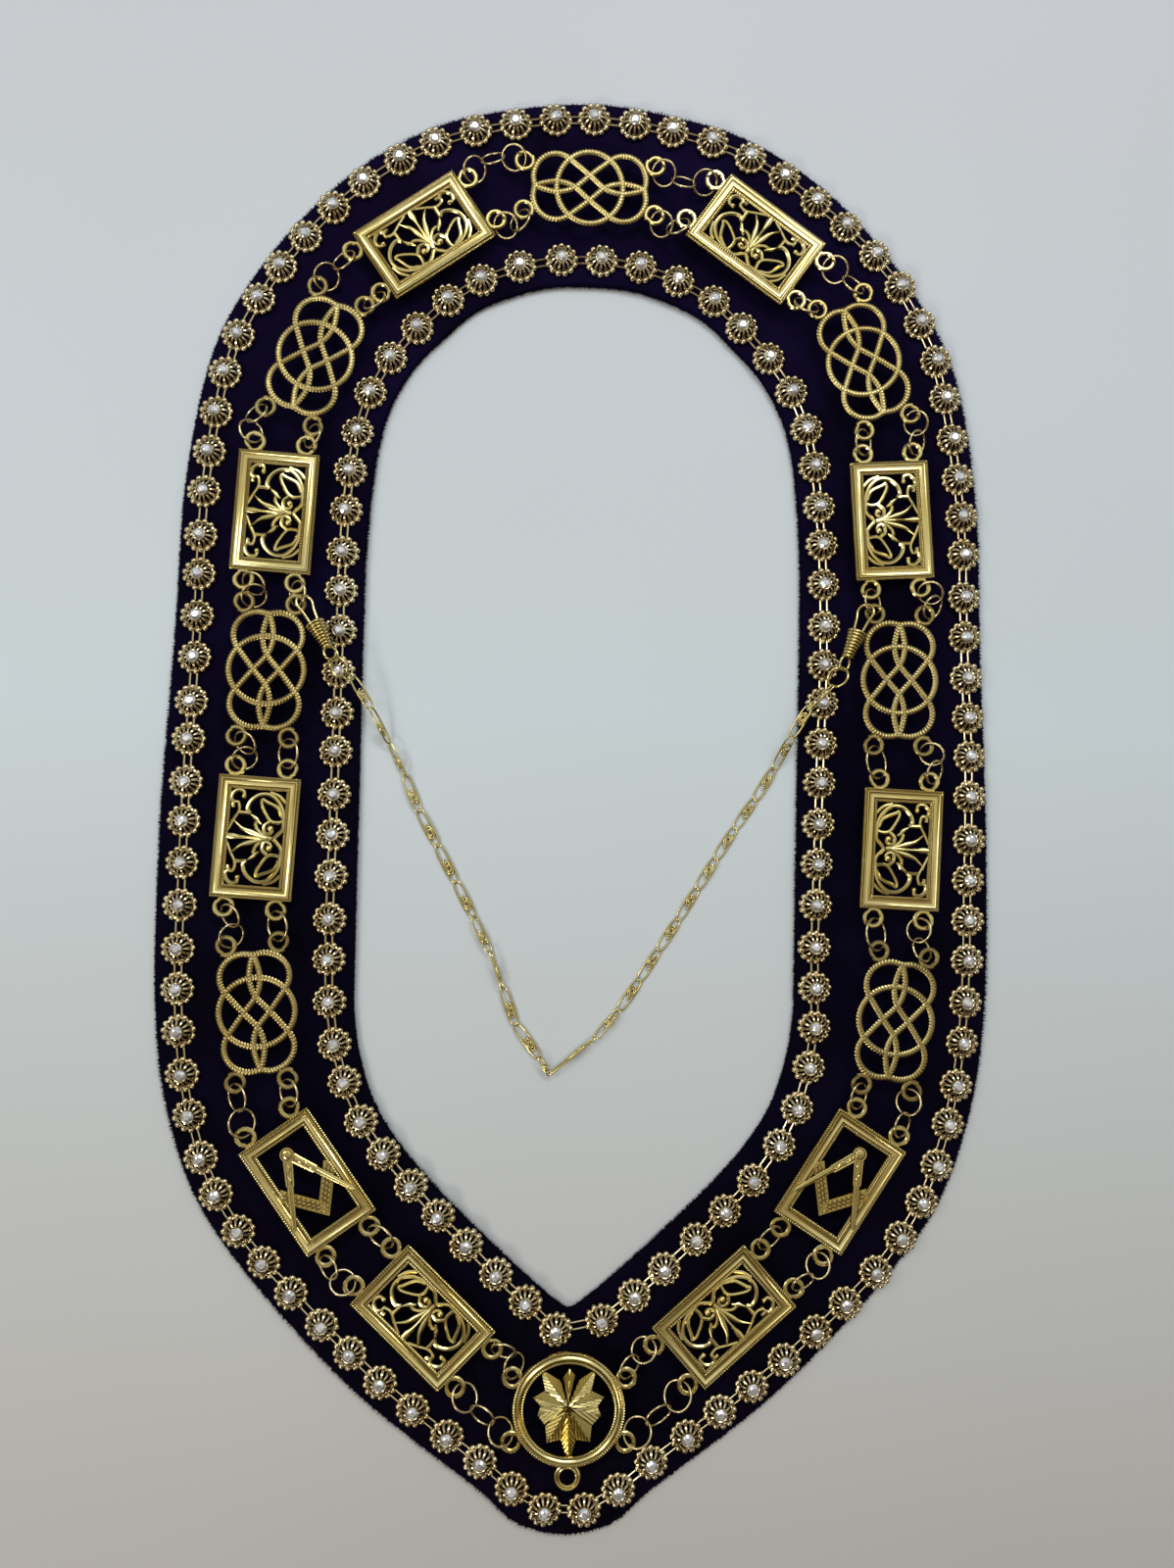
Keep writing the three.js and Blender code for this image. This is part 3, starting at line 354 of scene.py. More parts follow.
def curve(points, count, closed=False, fine=24):
    """A centripetal Catmull-Rom curve through the points, as the CAD model's curves are."""
    points = np.asarray(points, float)
    if closed:
        before, first = np.roll(points, 1, 0), points
        second, after = np.roll(points, -1, 0), np.roll(points, -2, 0)
    else:
        run = np.vstack([2 * points[0] - points[1], points, 2 * points[-1] - points[-2]])
        before, first, second, after = run[:-3], run[1:-2], run[2:-1], run[3:]

    def spread(a, b):
        return np.sqrt(np.maximum(np.linalg.norm(b - a, axis=1), 1e-9))[:, None]

    behind, between, beyond = spread(before, first), spread(first, second), spread(second, after)
    leave = (first - before) / behind - (second - before) / (behind + between) + (second - first) / between
    reach = (second - first) / between - (after - first) / (between + beyond) + (after - second) / beyond
    leave, reach = leave * between, reach * between
    square = -3 * first + 3 * second - 2 * leave - reach
    cube = 2 * first - 2 * second + leave + reach
    share = (np.arange(fine) / fine)[None, :, None]
    dense = first[:, None] + leave[:, None] * share + square[:, None] * share**2 + cube[:, None] * share**3
    dense = np.vstack([dense.reshape(-1, points.shape[1]), points[:1] if closed else points[-1:]])
    return spaced(dense, count, closed)


def flat(points, level=0.0):
    points = np.asarray(points, float)
    return np.column_stack([points, np.full(len(points), level)])


def directions(points, closed=False):
    if closed:
        return unit(np.roll(points, -1, 0) - np.roll(points, 1, 0))
    return unit(np.gradient(points, axis=0))


def tube(points, wide, high, sides=8, closed=False, up=(0, 0, 1), grain=None):
    """A wire along points. wide and high are its section, and grain(length, angle) swells it."""
    points = np.asarray(points, float)
    tangent = directions(points, closed)
    across = unit(np.cross(np.asarray(up, float), tangent))
    over = np.cross(tangent, across)
    angle = 2 * math.pi * (np.arange(sides) + 0.5) / sides
    wide = np.broadcast_to(np.asarray(wide, float), len(points))[:, None, None]
    high = np.broadcast_to(np.asarray(high, float), len(points))[:, None, None]
    reach = np.ones((len(points), sides))
    if grain is not None:
        run = np.concatenate([[0], np.cumsum(np.linalg.norm(np.diff(points, axis=0), axis=1))])
        reach = grain(run[:, None], angle[None, :])
    side = across[:, None] * (wide / 2) * (np.cos(angle)[None, :] * reach)[..., None]
    rise = over[:, None] * (high / 2) * (np.sin(angle)[None, :] * reach)[..., None]
    return loft(points[:, None] + side + rise, closed)


def ribbon(points, wide, low, high, crown=0.25, closed=False):
    """A flat strip with upright sides and a raised middle, along level points (x, y)."""
    points = np.asarray(points, float)
    tangent = directions(points, closed)
    left = np.column_stack([-tangent[:, 1], tangent[:, 0]])
    aside = left * np.broadcast_to(np.asarray(wide, float), len(points))[:, None] / 2
    shoulder, slope = high - crown, high - 0.2 * crown
    section = [(1, low), (1, shoulder), (0.45, slope), (0, high), (-0.45, slope), (-1, shoulder), (-1, low)]
    rings = [flat(points + aside * share, level) for share, level in section]
    return loft(np.stack(rings, 1), closed)


def prism(outline, low, high, inset=0.0):
    """A flat plate with a small bevel. The outline is seen whole from its middle."""
    outline = np.asarray(outline, float)
    middle = outline.mean(0)
    inner = middle + (outline - middle) * (1 - inset)
    rings = [flat(outline, low), flat(outline, high - 0.12), flat(inner, high)]
    return loft(rings, ends=(np.append(middle, low), np.append(middle, high)))


# Radius of a turned body where its profile meets the axis
AXIS = 0.0001


def lathe(profile, segments, closed=False):
    """A turned body. profile is (radius, level) rows."""
    angle = all_round(segments)
    return loft([circle(radius, angle, level) for radius, level in profile], closed)


def dome(segments=7, rows=2):
    """A half ball of radius 1 that sits on its flat side."""
    lifts = [0.5 * math.pi * row / (rows + 1) for row in range(rows + 1)]
    rings = [circle(math.cos(lift), all_round(segments), math.sin(lift)) for lift in lifts]
    return loft(rings, ends=((0, 0, 0), (0, 0, 1)))


def grains(points, closed, along, across, high, level, lean=0.0):
    """A milled edge: small domes on a level line, each leaning by lean degrees."""
    tangent = directions(np.asarray(points, float), closed)
    heading = np.arctan2(tangent[:, 1], tangent[:, 0]) + math.radians(lean)
    return scattered(dome(6, 1), upright(points, heading, along, across, high, level))


def rectangle_line(half_length, half_width, pitch):
    corners = np.array([(1, 1), (1, -1), (-1, -1), (-1, 1), (1, 1)]) * [half_length, half_width]
    around = 4 * (half_length + half_width)
    return spaced(corners.astype(float), int(around / pitch), closed=True)


# The yoke's outlines, clockwise seen from above
def outline(rows, half_width, half_length, middle, count):
    right = [(across * half_width, middle + along * half_length) for across, along in rows]
    left = [(-x, y) for x, y in right[1:-1][::-1]]
    return curve(right + left, count, closed=True, fine=40)


NECK_HIGH = LENGTH / 2 - NECK_TOP
NECK_LOW = -LENGTH / 2 + NECK_TIP


def outer_line(count):
    return outline(OUTER_OUTLINE, WIDTH / 2, LENGTH / 2, 0, count)


def inner_line(count):
    return outline(
        INNER_OUTLINE, NECK_WIDTH / 2, (NECK_HIGH - NECK_LOW) / 2, (NECK_HIGH + NECK_LOW) / 2, count,
    )


def outward(line):
    tangent = directions(line, closed=True)
    return np.column_stack([-tangent[:, 1], tangent[:, 0]])


# Objects
def set_sockets(node, **values):
    for name, value in values.items():
        node.inputs[name.replace("_", " ")].default_value = value


def make_object(name, part, material, smooth=35):
    vertices, quads, triangles = part
    mesh = bpy.data.meshes.new(name)
    mesh.vertices.add(len(vertices))
    mesh.vertices.foreach_set("co", (vertices * MM).astype(np.float32).ravel())
    loops = np.concatenate([quads.ravel(), triangles.ravel()]).astype(np.int32)
    mesh.loops.add(len(loops))
    mesh.loops.foreach_set("vertex_index", loops)
    starts = np.concatenate([
        np.arange(len(quads)) * 4, 4 * len(quads) + np.arange(len(triangles)) * 3,
    ]).astype(np.int32)
    mesh.polygons.add(len(starts))
    mesh.polygons.foreach_set("loop_start", starts)
    mesh.update(calc_edges=True)
    solid = bmesh.new()
    solid.from_mesh(mesh)
    bmesh.ops.recalc_face_normals(solid, faces=solid.faces)
    solid.to_mesh(mesh)
    solid.free()
    mesh.shade_smooth()
    mesh.set_sharp_from_angle(angle=math.radians(smooth))
    mesh.materials.append(material)
    piece = bpy.data.objects.new(name, mesh)
    bpy.context.scene.collection.objects.link(piece)
    return piece


def piece(name, part, material, slot, *nodes, smooth=35):
    made = make_object(name, part, material, smooth)
    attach(made, "root")
    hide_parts(*nodes)
    return made


# Materials
def new_material(name):
    material = bpy.data.materials.new(name)
    material.use_nodes = True
    tree = material.node_tree
    shader = tree.nodes["Principled BSDF"]
    return material, tree, shader


def noise(tree, scale, detail=3.0, roughness=0.55, warp=None):
    coordinates = tree.nodes.new("ShaderNodeTexCoord")
    texture = tree.nodes.new("ShaderNodeTexNoise")
    set_sockets(texture, Scale=scale, Detail=detail, Roughness=roughness)
    if warp is None:
        tree.links.new(coordinates.outputs["Object"], texture.inputs["Vector"])
    else:
        stretch = tree.nodes.new("ShaderNodeMapping")
        stretch.inputs["Scale"].default_value = warp
        tree.links.new(coordinates.outputs["Object"], stretch.inputs["Vector"])
        tree.links.new(stretch.outputs["Vector"], texture.inputs["Vector"])
    return texture.outputs["Fac"]


def one_axis(tree, axis, kind="Object"):
    """The shaded point's place along one axis."""
    coordinates = tree.nodes.new("ShaderNodeTexCoord")
    parts = tree.nodes.new("ShaderNodeSeparateXYZ")
    tree.links.new(coordinates.outputs[kind], parts.inputs["Vector"])
    return parts.outputs[axis]


def ramp(tree, source, stops):
    node = tree.nodes.new("ShaderNodeValToRGB")
    elements = node.color_ramp.elements
    while len(elements) < len(stops):
        elements.new(0.5)
    for element, (position, color) in zip(elements, stops):
        element.position = position
        element.color = (*color, 1)
    tree.links.new(source, node.inputs["Fac"])
    return node.outputs["Color"]


def span(tree, source, low, high, from_low=0.0, from_high=1.0):
    node = tree.nodes.new("ShaderNodeMapRange")
    for name, value in (("From Min", from_low), ("From Max", from_high), ("To Min", low), ("To Max", high)):
        node.inputs[name].default_value = value
    tree.links.new(source, node.inputs["Value"])
    return node.outputs["Result"]


def mixed(tree, share, first, second, kind="MIX"):
    node = tree.nodes.new("ShaderNodeMix")
    node.data_type = "RGBA"
    node.blend_type = kind
    sockets = [s for s in node.inputs if s.type == "RGBA"]
    factor = node.inputs["Factor"]
    for source, socket in ((share, factor), (first, sockets[0]), (second, sockets[1])):
        if isinstance(source, (int, float)):
            socket.default_value = source
        elif isinstance(source, tuple):
            socket.default_value = (*source, 1)
        else:
            tree.links.new(source, socket)
    return [s for s in node.outputs if s.type == "RGBA"][0]


def bumps(tree, shader, source, strength, distance):
    node = tree.nodes.new("ShaderNodeBump")
    set_sockets(node, Strength=strength, Distance=distance)
    tree.links.new(source, node.inputs["Height"])
    tree.links.new(node.outputs["Normal"], shader.inputs["Normal"])


def gilt(name, bright, deep, hollow_shade, rough_low, rough_high, hollow_shade_reach, bump):
    """Gilt brass: two tones in patches, painted shade darkening it where it is hollow, lightly pitted."""
    material, tree, shader = new_material(name)
    patches = ramp(tree, noise(tree, 60, 2.0), [(0.35, deep), (0.65, bright)])
    # Painted shade: the ambient occlusion mask mixes a dark colour into the base colour in recesses, where
    # real shade falls.
    hollow = tree.nodes.new("ShaderNodeAmbientOcclusion")
    hollow.samples = 6
    hollow.inputs["Distance"].default_value = hollow_shade_reach
    share = span(tree, hollow.outputs["AO"], 1.0, 0.0, 0.25, 0.85)
    color = mixed(tree, share, patches, hollow_shade)
    tree.links.new(color, shader.inputs["Base Color"])
    rough = span(tree, noise(tree, 900, 3.0), rough_low, rough_high, 0.3, 0.7)
    tree.links.new(rough, shader.inputs["Roughness"])
    set_sockets(shader, Metallic=1.0)
    bumps(tree, shader, noise(tree, 2600, 3.0), bump, 0.0001)
    return material


def velvet_material():
    """Dark pile, with painted light: lighter and more indigo toward the neck top."""
    material, tree, shader = new_material("velvet")
    drift = ramp(tree, noise(tree, 28, 4.0, 0.6), [(0.35, (0.55, 0.5, 0.42)), (0.72, (1.3, 1.2, 1.3))])
    # Painted light: the tone ramp along Y lightens the pile and turns it more indigo toward the neck top,
    # where more light falls.
    tone = ramp(tree, span(tree, one_axis(tree, "Y"), 0, 1, -0.2, 0.2), [
        (0.0, (0.0026, 0.0017, 0.0078)), (0.5, (0.0032, 0.0021, 0.0120)),
        (1.0, (0.0062, 0.0037, 0.0270)),
    ])
    tree.links.new(mixed(tree, 1.0, tone, drift, "MULTIPLY"), shader.inputs["Base Color"])
    set_sockets(shader, Roughness=0.9, Sheen_Weight=0.04, Sheen_Roughness=0.4)
    shader.inputs["Sheen Tint"].default_value = (0.16, 0.12, 0.42, 1)
    shader.inputs["Specular IOR Level"].default_value = 0.03
    pile = noise(tree, 2400, 4.0, 0.65, warp=(1, 0.45, 1))
    bumps(tree, shader, pile, 0.8, 0.0006)
    return material


def stone_material():
    material, tree, shader = new_material("stone")
    tone = ramp(tree, noise(tree, 700, 2.0), [(0.35, (0.62, 0.65, 0.70)), (0.65, (0.97, 0.98, 1.0))])
    tree.links.new(tone, shader.inputs["Base Color"])
    set_sockets(shader, Metallic=0.75, Roughness=0.06, Coat_Weight=1.0, Coat_Roughness=0.02)
    return material


def floor_material():
    """Matt white board with painted light: lighter and cooler far from the viewer, darker and warmer near.
    """
    material, tree, shader = new_material("floor")
    # Painted light: the tone ramp along Y stands in for the light's fall-off and tint across the board.
    tone = ramp(tree, span(tree, one_axis(tree, "Y"), 0, 1, -0.26, 0.26), [
        (0.0, (0.45, 0.43, 0.415)), (0.28, (0.54, 0.565, 0.58)), (0.55, (0.62, 0.70, 0.755)),
        (1.0, (0.62, 0.65, 0.71)),
    ])
    soft = ramp(tree, noise(tree, 3.0, 3.0), [(0.3, (0.96, 0.96, 0.96)), (0.7, (1.0, 1.0, 1.0))])
    tree.links.new(mixed(tree, 1.0, tone, soft, "MULTIPLY"), shader.inputs["Base Color"])
    set_sockets(shader, Roughness=0.6)
    bumps(tree, shader, noise(tree, 900, 2.0), 0.05, 0.0002)
    return material


# Each row's third colour is painted shade for the hollows, and the next to last number is how far into them
# that painted shade reaches.
GILT_COLUMNS = ("name", "bright", "deep", "hollow_shade", "rough_low", "rough_high", "hollow_shade_reach", "bump")
GILT_ROWS = [
    ("gold", (0.76, 0.66, 0.31), (0.66, 0.54, 0.20), (0.20, 0.12, 0.03), 0.14, 0.26, 0.0010, 0.10),
    ("trim_gold", (0.70, 0.61, 0.40), (0.61, 0.50, 0.29), (0.20, 0.12, 0.05), 0.14, 0.24, 0.0006, 0.10),
    ("wire_gold", (0.66, 0.56, 0.32), (0.56, 0.44, 0.23), (0.14, 0.08, 0.02), 0.18, 0.30, 0.0008, 0.08),
    # The knots' gilt is a darker copy of the gold: painted shade for their roped wire.
    ("knot_gold_painted_shade", (0.45, 0.37, 0.155), (0.33, 0.25, 0.09), (0.12, 0.07, 0.02), 0.24, 0.38, 0.0010, 0.10),
]
GOLD, TRIM_GOLD, WIRE_GOLD, SHADED_KNOT_GOLD = [gilt(**dict(zip(GILT_COLUMNS, row))) for row in GILT_ROWS]
STONE = stone_material()
VELVET_CLOTH = velvet_material()


# Velvet
YOKE_STEPS = 420
YOKE_ROWS = 20
YOKE_EDGE = [(0.0, 0.15), (0.0, 0.45), (0.05, 0.75), (0.25, 0.93), (0.6, 1.0)]
FRINGE_PER_MM = 12.0
TOOTH_PITCH = 0.95


def velvet_body():
    outer, inner = outer_line(YOKE_STEPS), inner_line(YOKE_STEPS)
    out_way, in_way = outward(outer), outward(inner)
    rings = []
    for inset, rise in YOKE_EDGE:
        rings.append(flat(outer - out_way * (inset + 0.25), VELVET * rise))
    for row in range(1, YOKE_ROWS):
        share = row / YOKE_ROWS
        line = outer * (1 - share) + inner * share
        level = VELVET - 0.10 + 0.06 * np.sin(line[:, 0] / 9 + 2 * np.sin(line[:, 1] / 14))
        rings.append(np.column_stack([line, level]))
    for inset, rise in YOKE_EDGE[::-1]:
        rings.append(flat(inner + in_way * (inset + 0.25), VELVET * rise))
    rings.append(flat(inner + in_way * 0.7, 0.0))
    rings.append(flat((inner + outer) / 2, 0.0))
    rings.append(flat(outer - out_way * 0.7, 0.0))
    return loft(np.stack(rings, 1), closed=True)


def fringe(line, sign):
    """Cut pile along an edge: thin pointed threads in a saw-toothed row."""
    around = np.linalg.norm(np.roll(line, -1, 0) - line, axis=1).sum()
    count = int(around * FRINGE_PER_MM)
    place = np.sort(GENERATOR.uniform(0, len(line), count))
    low = place.astype(int) % len(line)
    share = (place - place.astype(int))[:, None]
    base = line[low] * (1 - share) + line[(low + 1) % len(line)] * share
    way = outward(line)[low] * sign
    along = np.column_stack([way[:, 1], -way[:, 0]])
    run = place / len(line) * around
    tooth = np.mod(run / TOOTH_PITCH + 0.35 * np.sin(run / 7), 1.0)
    clump = 0.5 + 0.5 * np.sin(run / 23 + 2 * np.sin(run / 61))
    length = (0.15 + 0.60 * tooth * (0.35 + 0.8 * clump)) * GENERATOR.uniform(0.7, 1.25, count)
    level = GENERATOR.uniform(0.25, VELVET - 0.15, count)
    slant = GENERATOR.normal(0, 0.28, count)
    root = flat(base - way * 0.5)
    root[:, 2] = level
    tip = root + np.column_stack([
        way * (length + 0.5)[:, None] + along * (slant * length)[:, None],
        GENERATOR.normal(0, 0.15, count),
    ])
    tip[:, 2] = np.clip(tip[:, 2], 0.05, VELVET)
    thick = GENERATOR.uniform(0.10, 0.17, count)[:, None]
    side = np.column_stack([along, np.zeros(count)]) * thick
    up = np.array([0, 0, 1.0]) * thick
    corners = np.stack([root - side - up * 0.6, root + side - up * 0.6, root + up, tip], 1)
    index = (np.arange(count) * 4)[:, None, None]
    faces = np.array([(0, 2, 1), (0, 1, 3), (1, 2, 3), (2, 0, 3)])[None] + index
    return corners.reshape(-1, 3), np.zeros((0, 4), int), faces.reshape(-1, 3)


# Stone flowers
def flower_metal():
    """Beads on a rim, ribs that rise from them, and the ring that holds the stone."""
    angles = all_round(FLOWER_PETALS)
    places = circle(FLOWER_RADIUS, angles)[:, :2]
    parts = [scattered(dome(8, 2), upright(places, angles, BEAD_LONG / 2, BEAD_WIDE / 2, 1.0, 0.3))]
    ring = all_round(4 * FLOWER_PETALS)
    rim = circle(FLOWER_RADIUS - 0.55 - 0.08 * np.cos(FLOWER_PETALS * ring), ring, 0.5)
    parts.append(tube(rim, 0.95, 0.7, 6, closed=True))
    rib = np.array([(4.3, 0.7), (3.75, 1.6), (3.1, 2.25), (2.45, 2.6), (1.95, 2.7)])
    for angle in angles:
        line = np.column_stack([rib[:, 0] * math.cos(angle), rib[:, 0] * math.sin(angle), rib[:, 1]])
        side = (-math.sin(angle), math.cos(angle), 0)
        parts.append(tube(line, 0.5, [1.15, 1.05, 0.85, 0.68, 0.52], 5, up=side))
    bezel = [(1.75, 2.0), (2.1, 2.0), (2.24, 2.7), (2.14, 3.2), (1.93, 3.42), (1.74, 3.3), (1.7, 2.6)]
    parts.append(lathe(bezel, 20, closed=True))
    return joined(parts)


def flower_stone():
    """A brilliant: eight-sided table, two rows of facets above a round girdle."""
    eight, sixteen = all_round(8), all_round(16)
    table = circle(0.85, eight, 3.9)
    star = circle(1.3, eight + math.pi / 8, 3.66)
    girdle = circle(1.74, sixteen, 3.24)
    foot = circle(1.74, sixteen, 3.1)
    vertices = np.vstack([table, star, girdle, foot, [(0, 0, 3.9)], [(0, 0, 2.3)]])
    faces = []
    for i in range(8):
        j = (i + 1) % 8
        faces.append((48, i, j))
        faces.append((i, 8 + i, j))
        faces.append((i, 16 + 2 * i, 8 + i))
        faces.append((8 + i, 16 + 2 * i, 16 + 2 * i + 1))
        faces.append((8 + i, 16 + 2 * i + 1, 16 + (2 * i + 2) % 16))
        faces.append((8 + i, 16 + (2 * i + 2) % 16, j))
    quads = []
    for i in range(16):
        j = (i + 1) % 16
        quads.append((16 + i, 32 + i, 32 + j, 16 + j))
        faces.append((49, 32 + j, 32 + i))
    return vertices, np.array(quads), np.array(faces)


def flower_places(line_at, inset, row):
    """The flowers' middles along one row."""
    base = line_at(4000)
    line = base + outward(base) * inset
    line = spaced(np.vstack([line, line[:1]]), 6000, closed=True)
    length = np.linalg.norm(np.roll(line, -1, 0) - line, axis=1).sum()
    count = row["count"]
    along = row["first"] + np.arange(count) * length / count + GENERATOR.normal(0, PLACE_PLAY, count)
    drift = np.array(row["drift"], float)
    aside = np.interp(along / length, drift[:, 0], drift[:, 1])
    index = (along / length * len(line)).astype(int) % len(line)
    return line[index] + outward(line)[index] * aside[:, None]


def flower_row(line_at, inset, row):
    """One row's flowers and bars, and its stones."""
    centers = flower_places(line_at, inset, row)
    count = len(centers)
    ahead = np.roll(centers, -1, 0) - centers
    heading = np.arctan2(ahead[:, 1], ahead[:, 0])
    lean = GENERATOR.normal(0, FLOWER_LEAN, (count, 2))
    frames = upright(centers, heading + GENERATOR.normal(0, FLOWER_TURN, count), level=TRIM_LEVEL)
    frames[:, 2, :2] = lean
    metal = scattered(flower_metal(), frames)
    spun = upright(centers, GENERATOR.uniform(0, math.pi, count), level=TRIM_LEVEL)
    spun[:, 2, :2] = lean[:, ::-1] * 2
    stones = scattered(flower_stone(), spun)
    bars = []
    for aside in (-BAR_APART / 2, BAR_APART / 2):
        rod = [(-BAR_LENGTH / 2, aside, 0.4), (0, aside, 0.45), (BAR_LENGTH / 2, aside, 0.4)]
        bars.append(tube(rod, BAR_WIDE, 0.5, 6))
    links = scattered(joined(bars), upright(centers + ahead / 2, heading, level=TRIM_LEVEL))
    return joined([metal, links]), stones


# Stamped plates in their own frames: +X toward the next plate, +Y outward
FRAME_SECTION = [
    (0.0, PLATE_BACK), (0.0, 0.45), (0.10, 0.55), (0.72, 0.55), (0.82, 1.00), (0.96, 1.18), (1.16, 1.18),
    (1.40, 0.98), (1.85, 0.80), (2.30, 0.84), (2.62, 1.04), (2.82, 1.04), (2.98, 0.50), (3.12, 0.42),
    (3.28, 0.55), (3.95, 0.55), (4.05, 0.45), (4.05, PLATE_BACK),
]


def plate_frame():
    rings = []
    for sign_x, sign_y in ((1, 1), (1, -1), (-1, -1), (-1, 1)):
        rings.append([
            (sign_x * (PLATE_LENGTH / 2 - inset), sign_y * (PLATE_WIDTH / 2 - inset), level)
            for inset, level in FRAME_SECTION
        ])
    parts = [loft(rings, closed=True)]
    for inset in (0.26, 3.64):
        line = rectangle_line(PLATE_LENGTH / 2 - inset, PLATE_WIDTH / 2 - inset, MILGRAIN_PITCH)
        parts.append(grains(line, True, 0.33, 0.52, 0.68, 0.45, lean=22))
    return parts


CURL_WIRE = 1.45


def curl(x, y, facing, hand):
    """An eyelet: a wire bent round into a loop, its end turned in."""
    radius = (EYELET_DIAMETER + 0.4 - CURL_WIRE) / 2
    angle = np.radians(np.linspace(-215, 150, 34))
    reach = np.interp(np.degrees(angle), [-215, 60, 150], [radius, radius, radius * 0.86])
    line = np.column_stack([reach * np.cos(angle), hand * reach * np.sin(angle)])
    spun = turned(line, math.radians(facing))
    wide = CURL_WIRE * np.interp(np.linspace(0, 1, len(line)), [0, 0.8, 1], [1, 1, 0.8])
    return tube(flat(spun + [x, y], 0.02), wide, EYELET_THICK + 0.1, 8)


def eyelet_places(kind):
    if kind == "medal":
        radius = MEDAL_DIAMETER / 2 + MEDAL_EYELET_REACH
        places = {}
        for end, facing in (("first", 1), ("second", -1)):
            for side, sign in (("inner", 1), ("outer", -1)):
                angle = math.radians(sign * MEDAL_EYELET_ANGLE)
                places[end, side] = (facing * radius * math.cos(angle), radius * math.sin(angle))
        return places
    length, reach = (KNOT_LENGTH, KNOT_EYELET_REACH) if kind == "knot" else (PLATE_LENGTH, EYELET_REACH)
    far = length / 2 + reach
    spread = EYELET_SPREAD / 2
    return {
        ("first", "outer"): (-far, spread), ("first", "inner"): (-far, -spread),
        ("second", "outer"): (far, spread), ("second", "inner"): (far, -spread),
    }


def eyelets(kind):
    parts = []
    for x, y in eyelet_places(kind).values():
        facing = math.degrees(math.atan2(y, x)) if kind == "medal" else (0 if x > 0 else 180)
        hand = 1 if x * y > 0 else -1
        parts.append(curl(x, y, facing, hand))
    return parts


def filigree_plate():
    half = []
    level = 0.05
    for wire in SCROLL_WIRES:
        points = wire["points"]
        line = flat(curve(points, 7 * len(points)), level)
        half.append(tube(line, wire["wide"], 1.3, 7))
    for blade in SCROLL_BLADES:
        points = curve(blade["points"], 18)
        share = np.linspace(0, 1, 18)
        wide = blade["wide"] * np.interp(share, [0, 0.45, 1], [0.45, 1, 0.3])
        half.append(ribbon(points, wide, PLATE_BACK, 0.85, 0.3))
    for x, y, radius in SCROLL_BALLS:
        pose = Matrix.Translation((x, y, PLATE_BACK)) @ Matrix.Diagonal((radius, radius, 1.45, 1))
        half.append(moved(dome(12, 4), pose))
    side = joined(half)
    stem_points = curve(SCROLL_STEM["points"], 24)
    share = np.linspace(0, 1, 24)
    wide = np.interp(share, np.linspace(0, 1, len(SCROLL_STEM["wide"])), SCROLL_STEM["wide"])
    stem = ribbon(stem_points, wide, PLATE_BACK, 0.9, 0.35)
    return plate_frame() + [side, mirrored(side, -1), stem] + eyelets("filigree")


def rope(run, angle):
    """Slanting dents of a twisted wire, for a tube's grain."""
    return 1.0 - ROPE_DEPTH * (0.5 + 0.5 * np.cos(2 * math.pi * run / ROPE_PITCH + 2 * angle)) ** 2


def knot_plate():
    strand = tube(flat(curve(KNOT_STRAND, 320), 0.12), KNOT_BAND, KNOT_HIGH, 8, grain=rope)
    angle = all_round(420)
    ring = np.column_stack([KNOT_RING[0] * np.cos(angle), KNOT_RING[1] * np.sin(angle)])
    loop = tube(flat(ring, 0.12), KNOT_BAND, KNOT_HIGH, 8, closed=True, grain=rope)
    parts = [mirrored(strand, across, along) for across in (1, -1) for along in (1, -1)]
    return parts + [loop] + eyelets("knot")


# Compasses over a builder's square, head at +X
SQUARE_VERTEX = np.array([-12.1, 0.0])
SQUARE_END = np.array([0.3, 10.45])
SQUARE_ARM = 3.6
BRICK_PITCH = 1.5
BRICK_LONG = 1.15
BRICK_WIDE = 0.76
COMPASS_HEAD = np.array([10.3, 0.0])
COMPASS_TIP = np.array([-10.0, 10.9])


def square_arm():
    """One arm of the square: a raised band with three rows of bricks."""
    way = unit(SQUARE_END - SQUARE_VERTEX)
    length = np.linalg.norm(SQUARE_END - SQUARE_VERTEX)
    inside = np.array([way[1], -way[0]])
    cut = SQUARE_ARM * way[0] / way[1]

    def at(along, aside):
        return SQUARE_VERTEX + way * along + inside * aside

    outline_points = [at(0, 0), at(length, 0), at(length, SQUARE_ARM), at(cut, SQUARE_ARM)]
    parts = [prism(outline_points, PLATE_BACK, 0.85)]
    row_wide = (SQUARE_ARM - 0.5) / 3
    for row in range(3):
        aside = 0.25 + row_wide * (row + 0.5)
        low, high = aside - BRICK_WIDE / 2, aside + BRICK_WIDE / 2
        near = aside * way[0] / way[1] + 0.35 + (row % 2) * BRICK_PITCH / 2
        while near + BRICK_PITCH < length:
            far = near + BRICK_LONG
            corners = [at(near, low), at(far, low), at(far, high), at(near, high)]
            parts.append(prism(corners, 0.75, 1.4, 0.15))
            near += BRICK_PITCH
    return joined(parts)


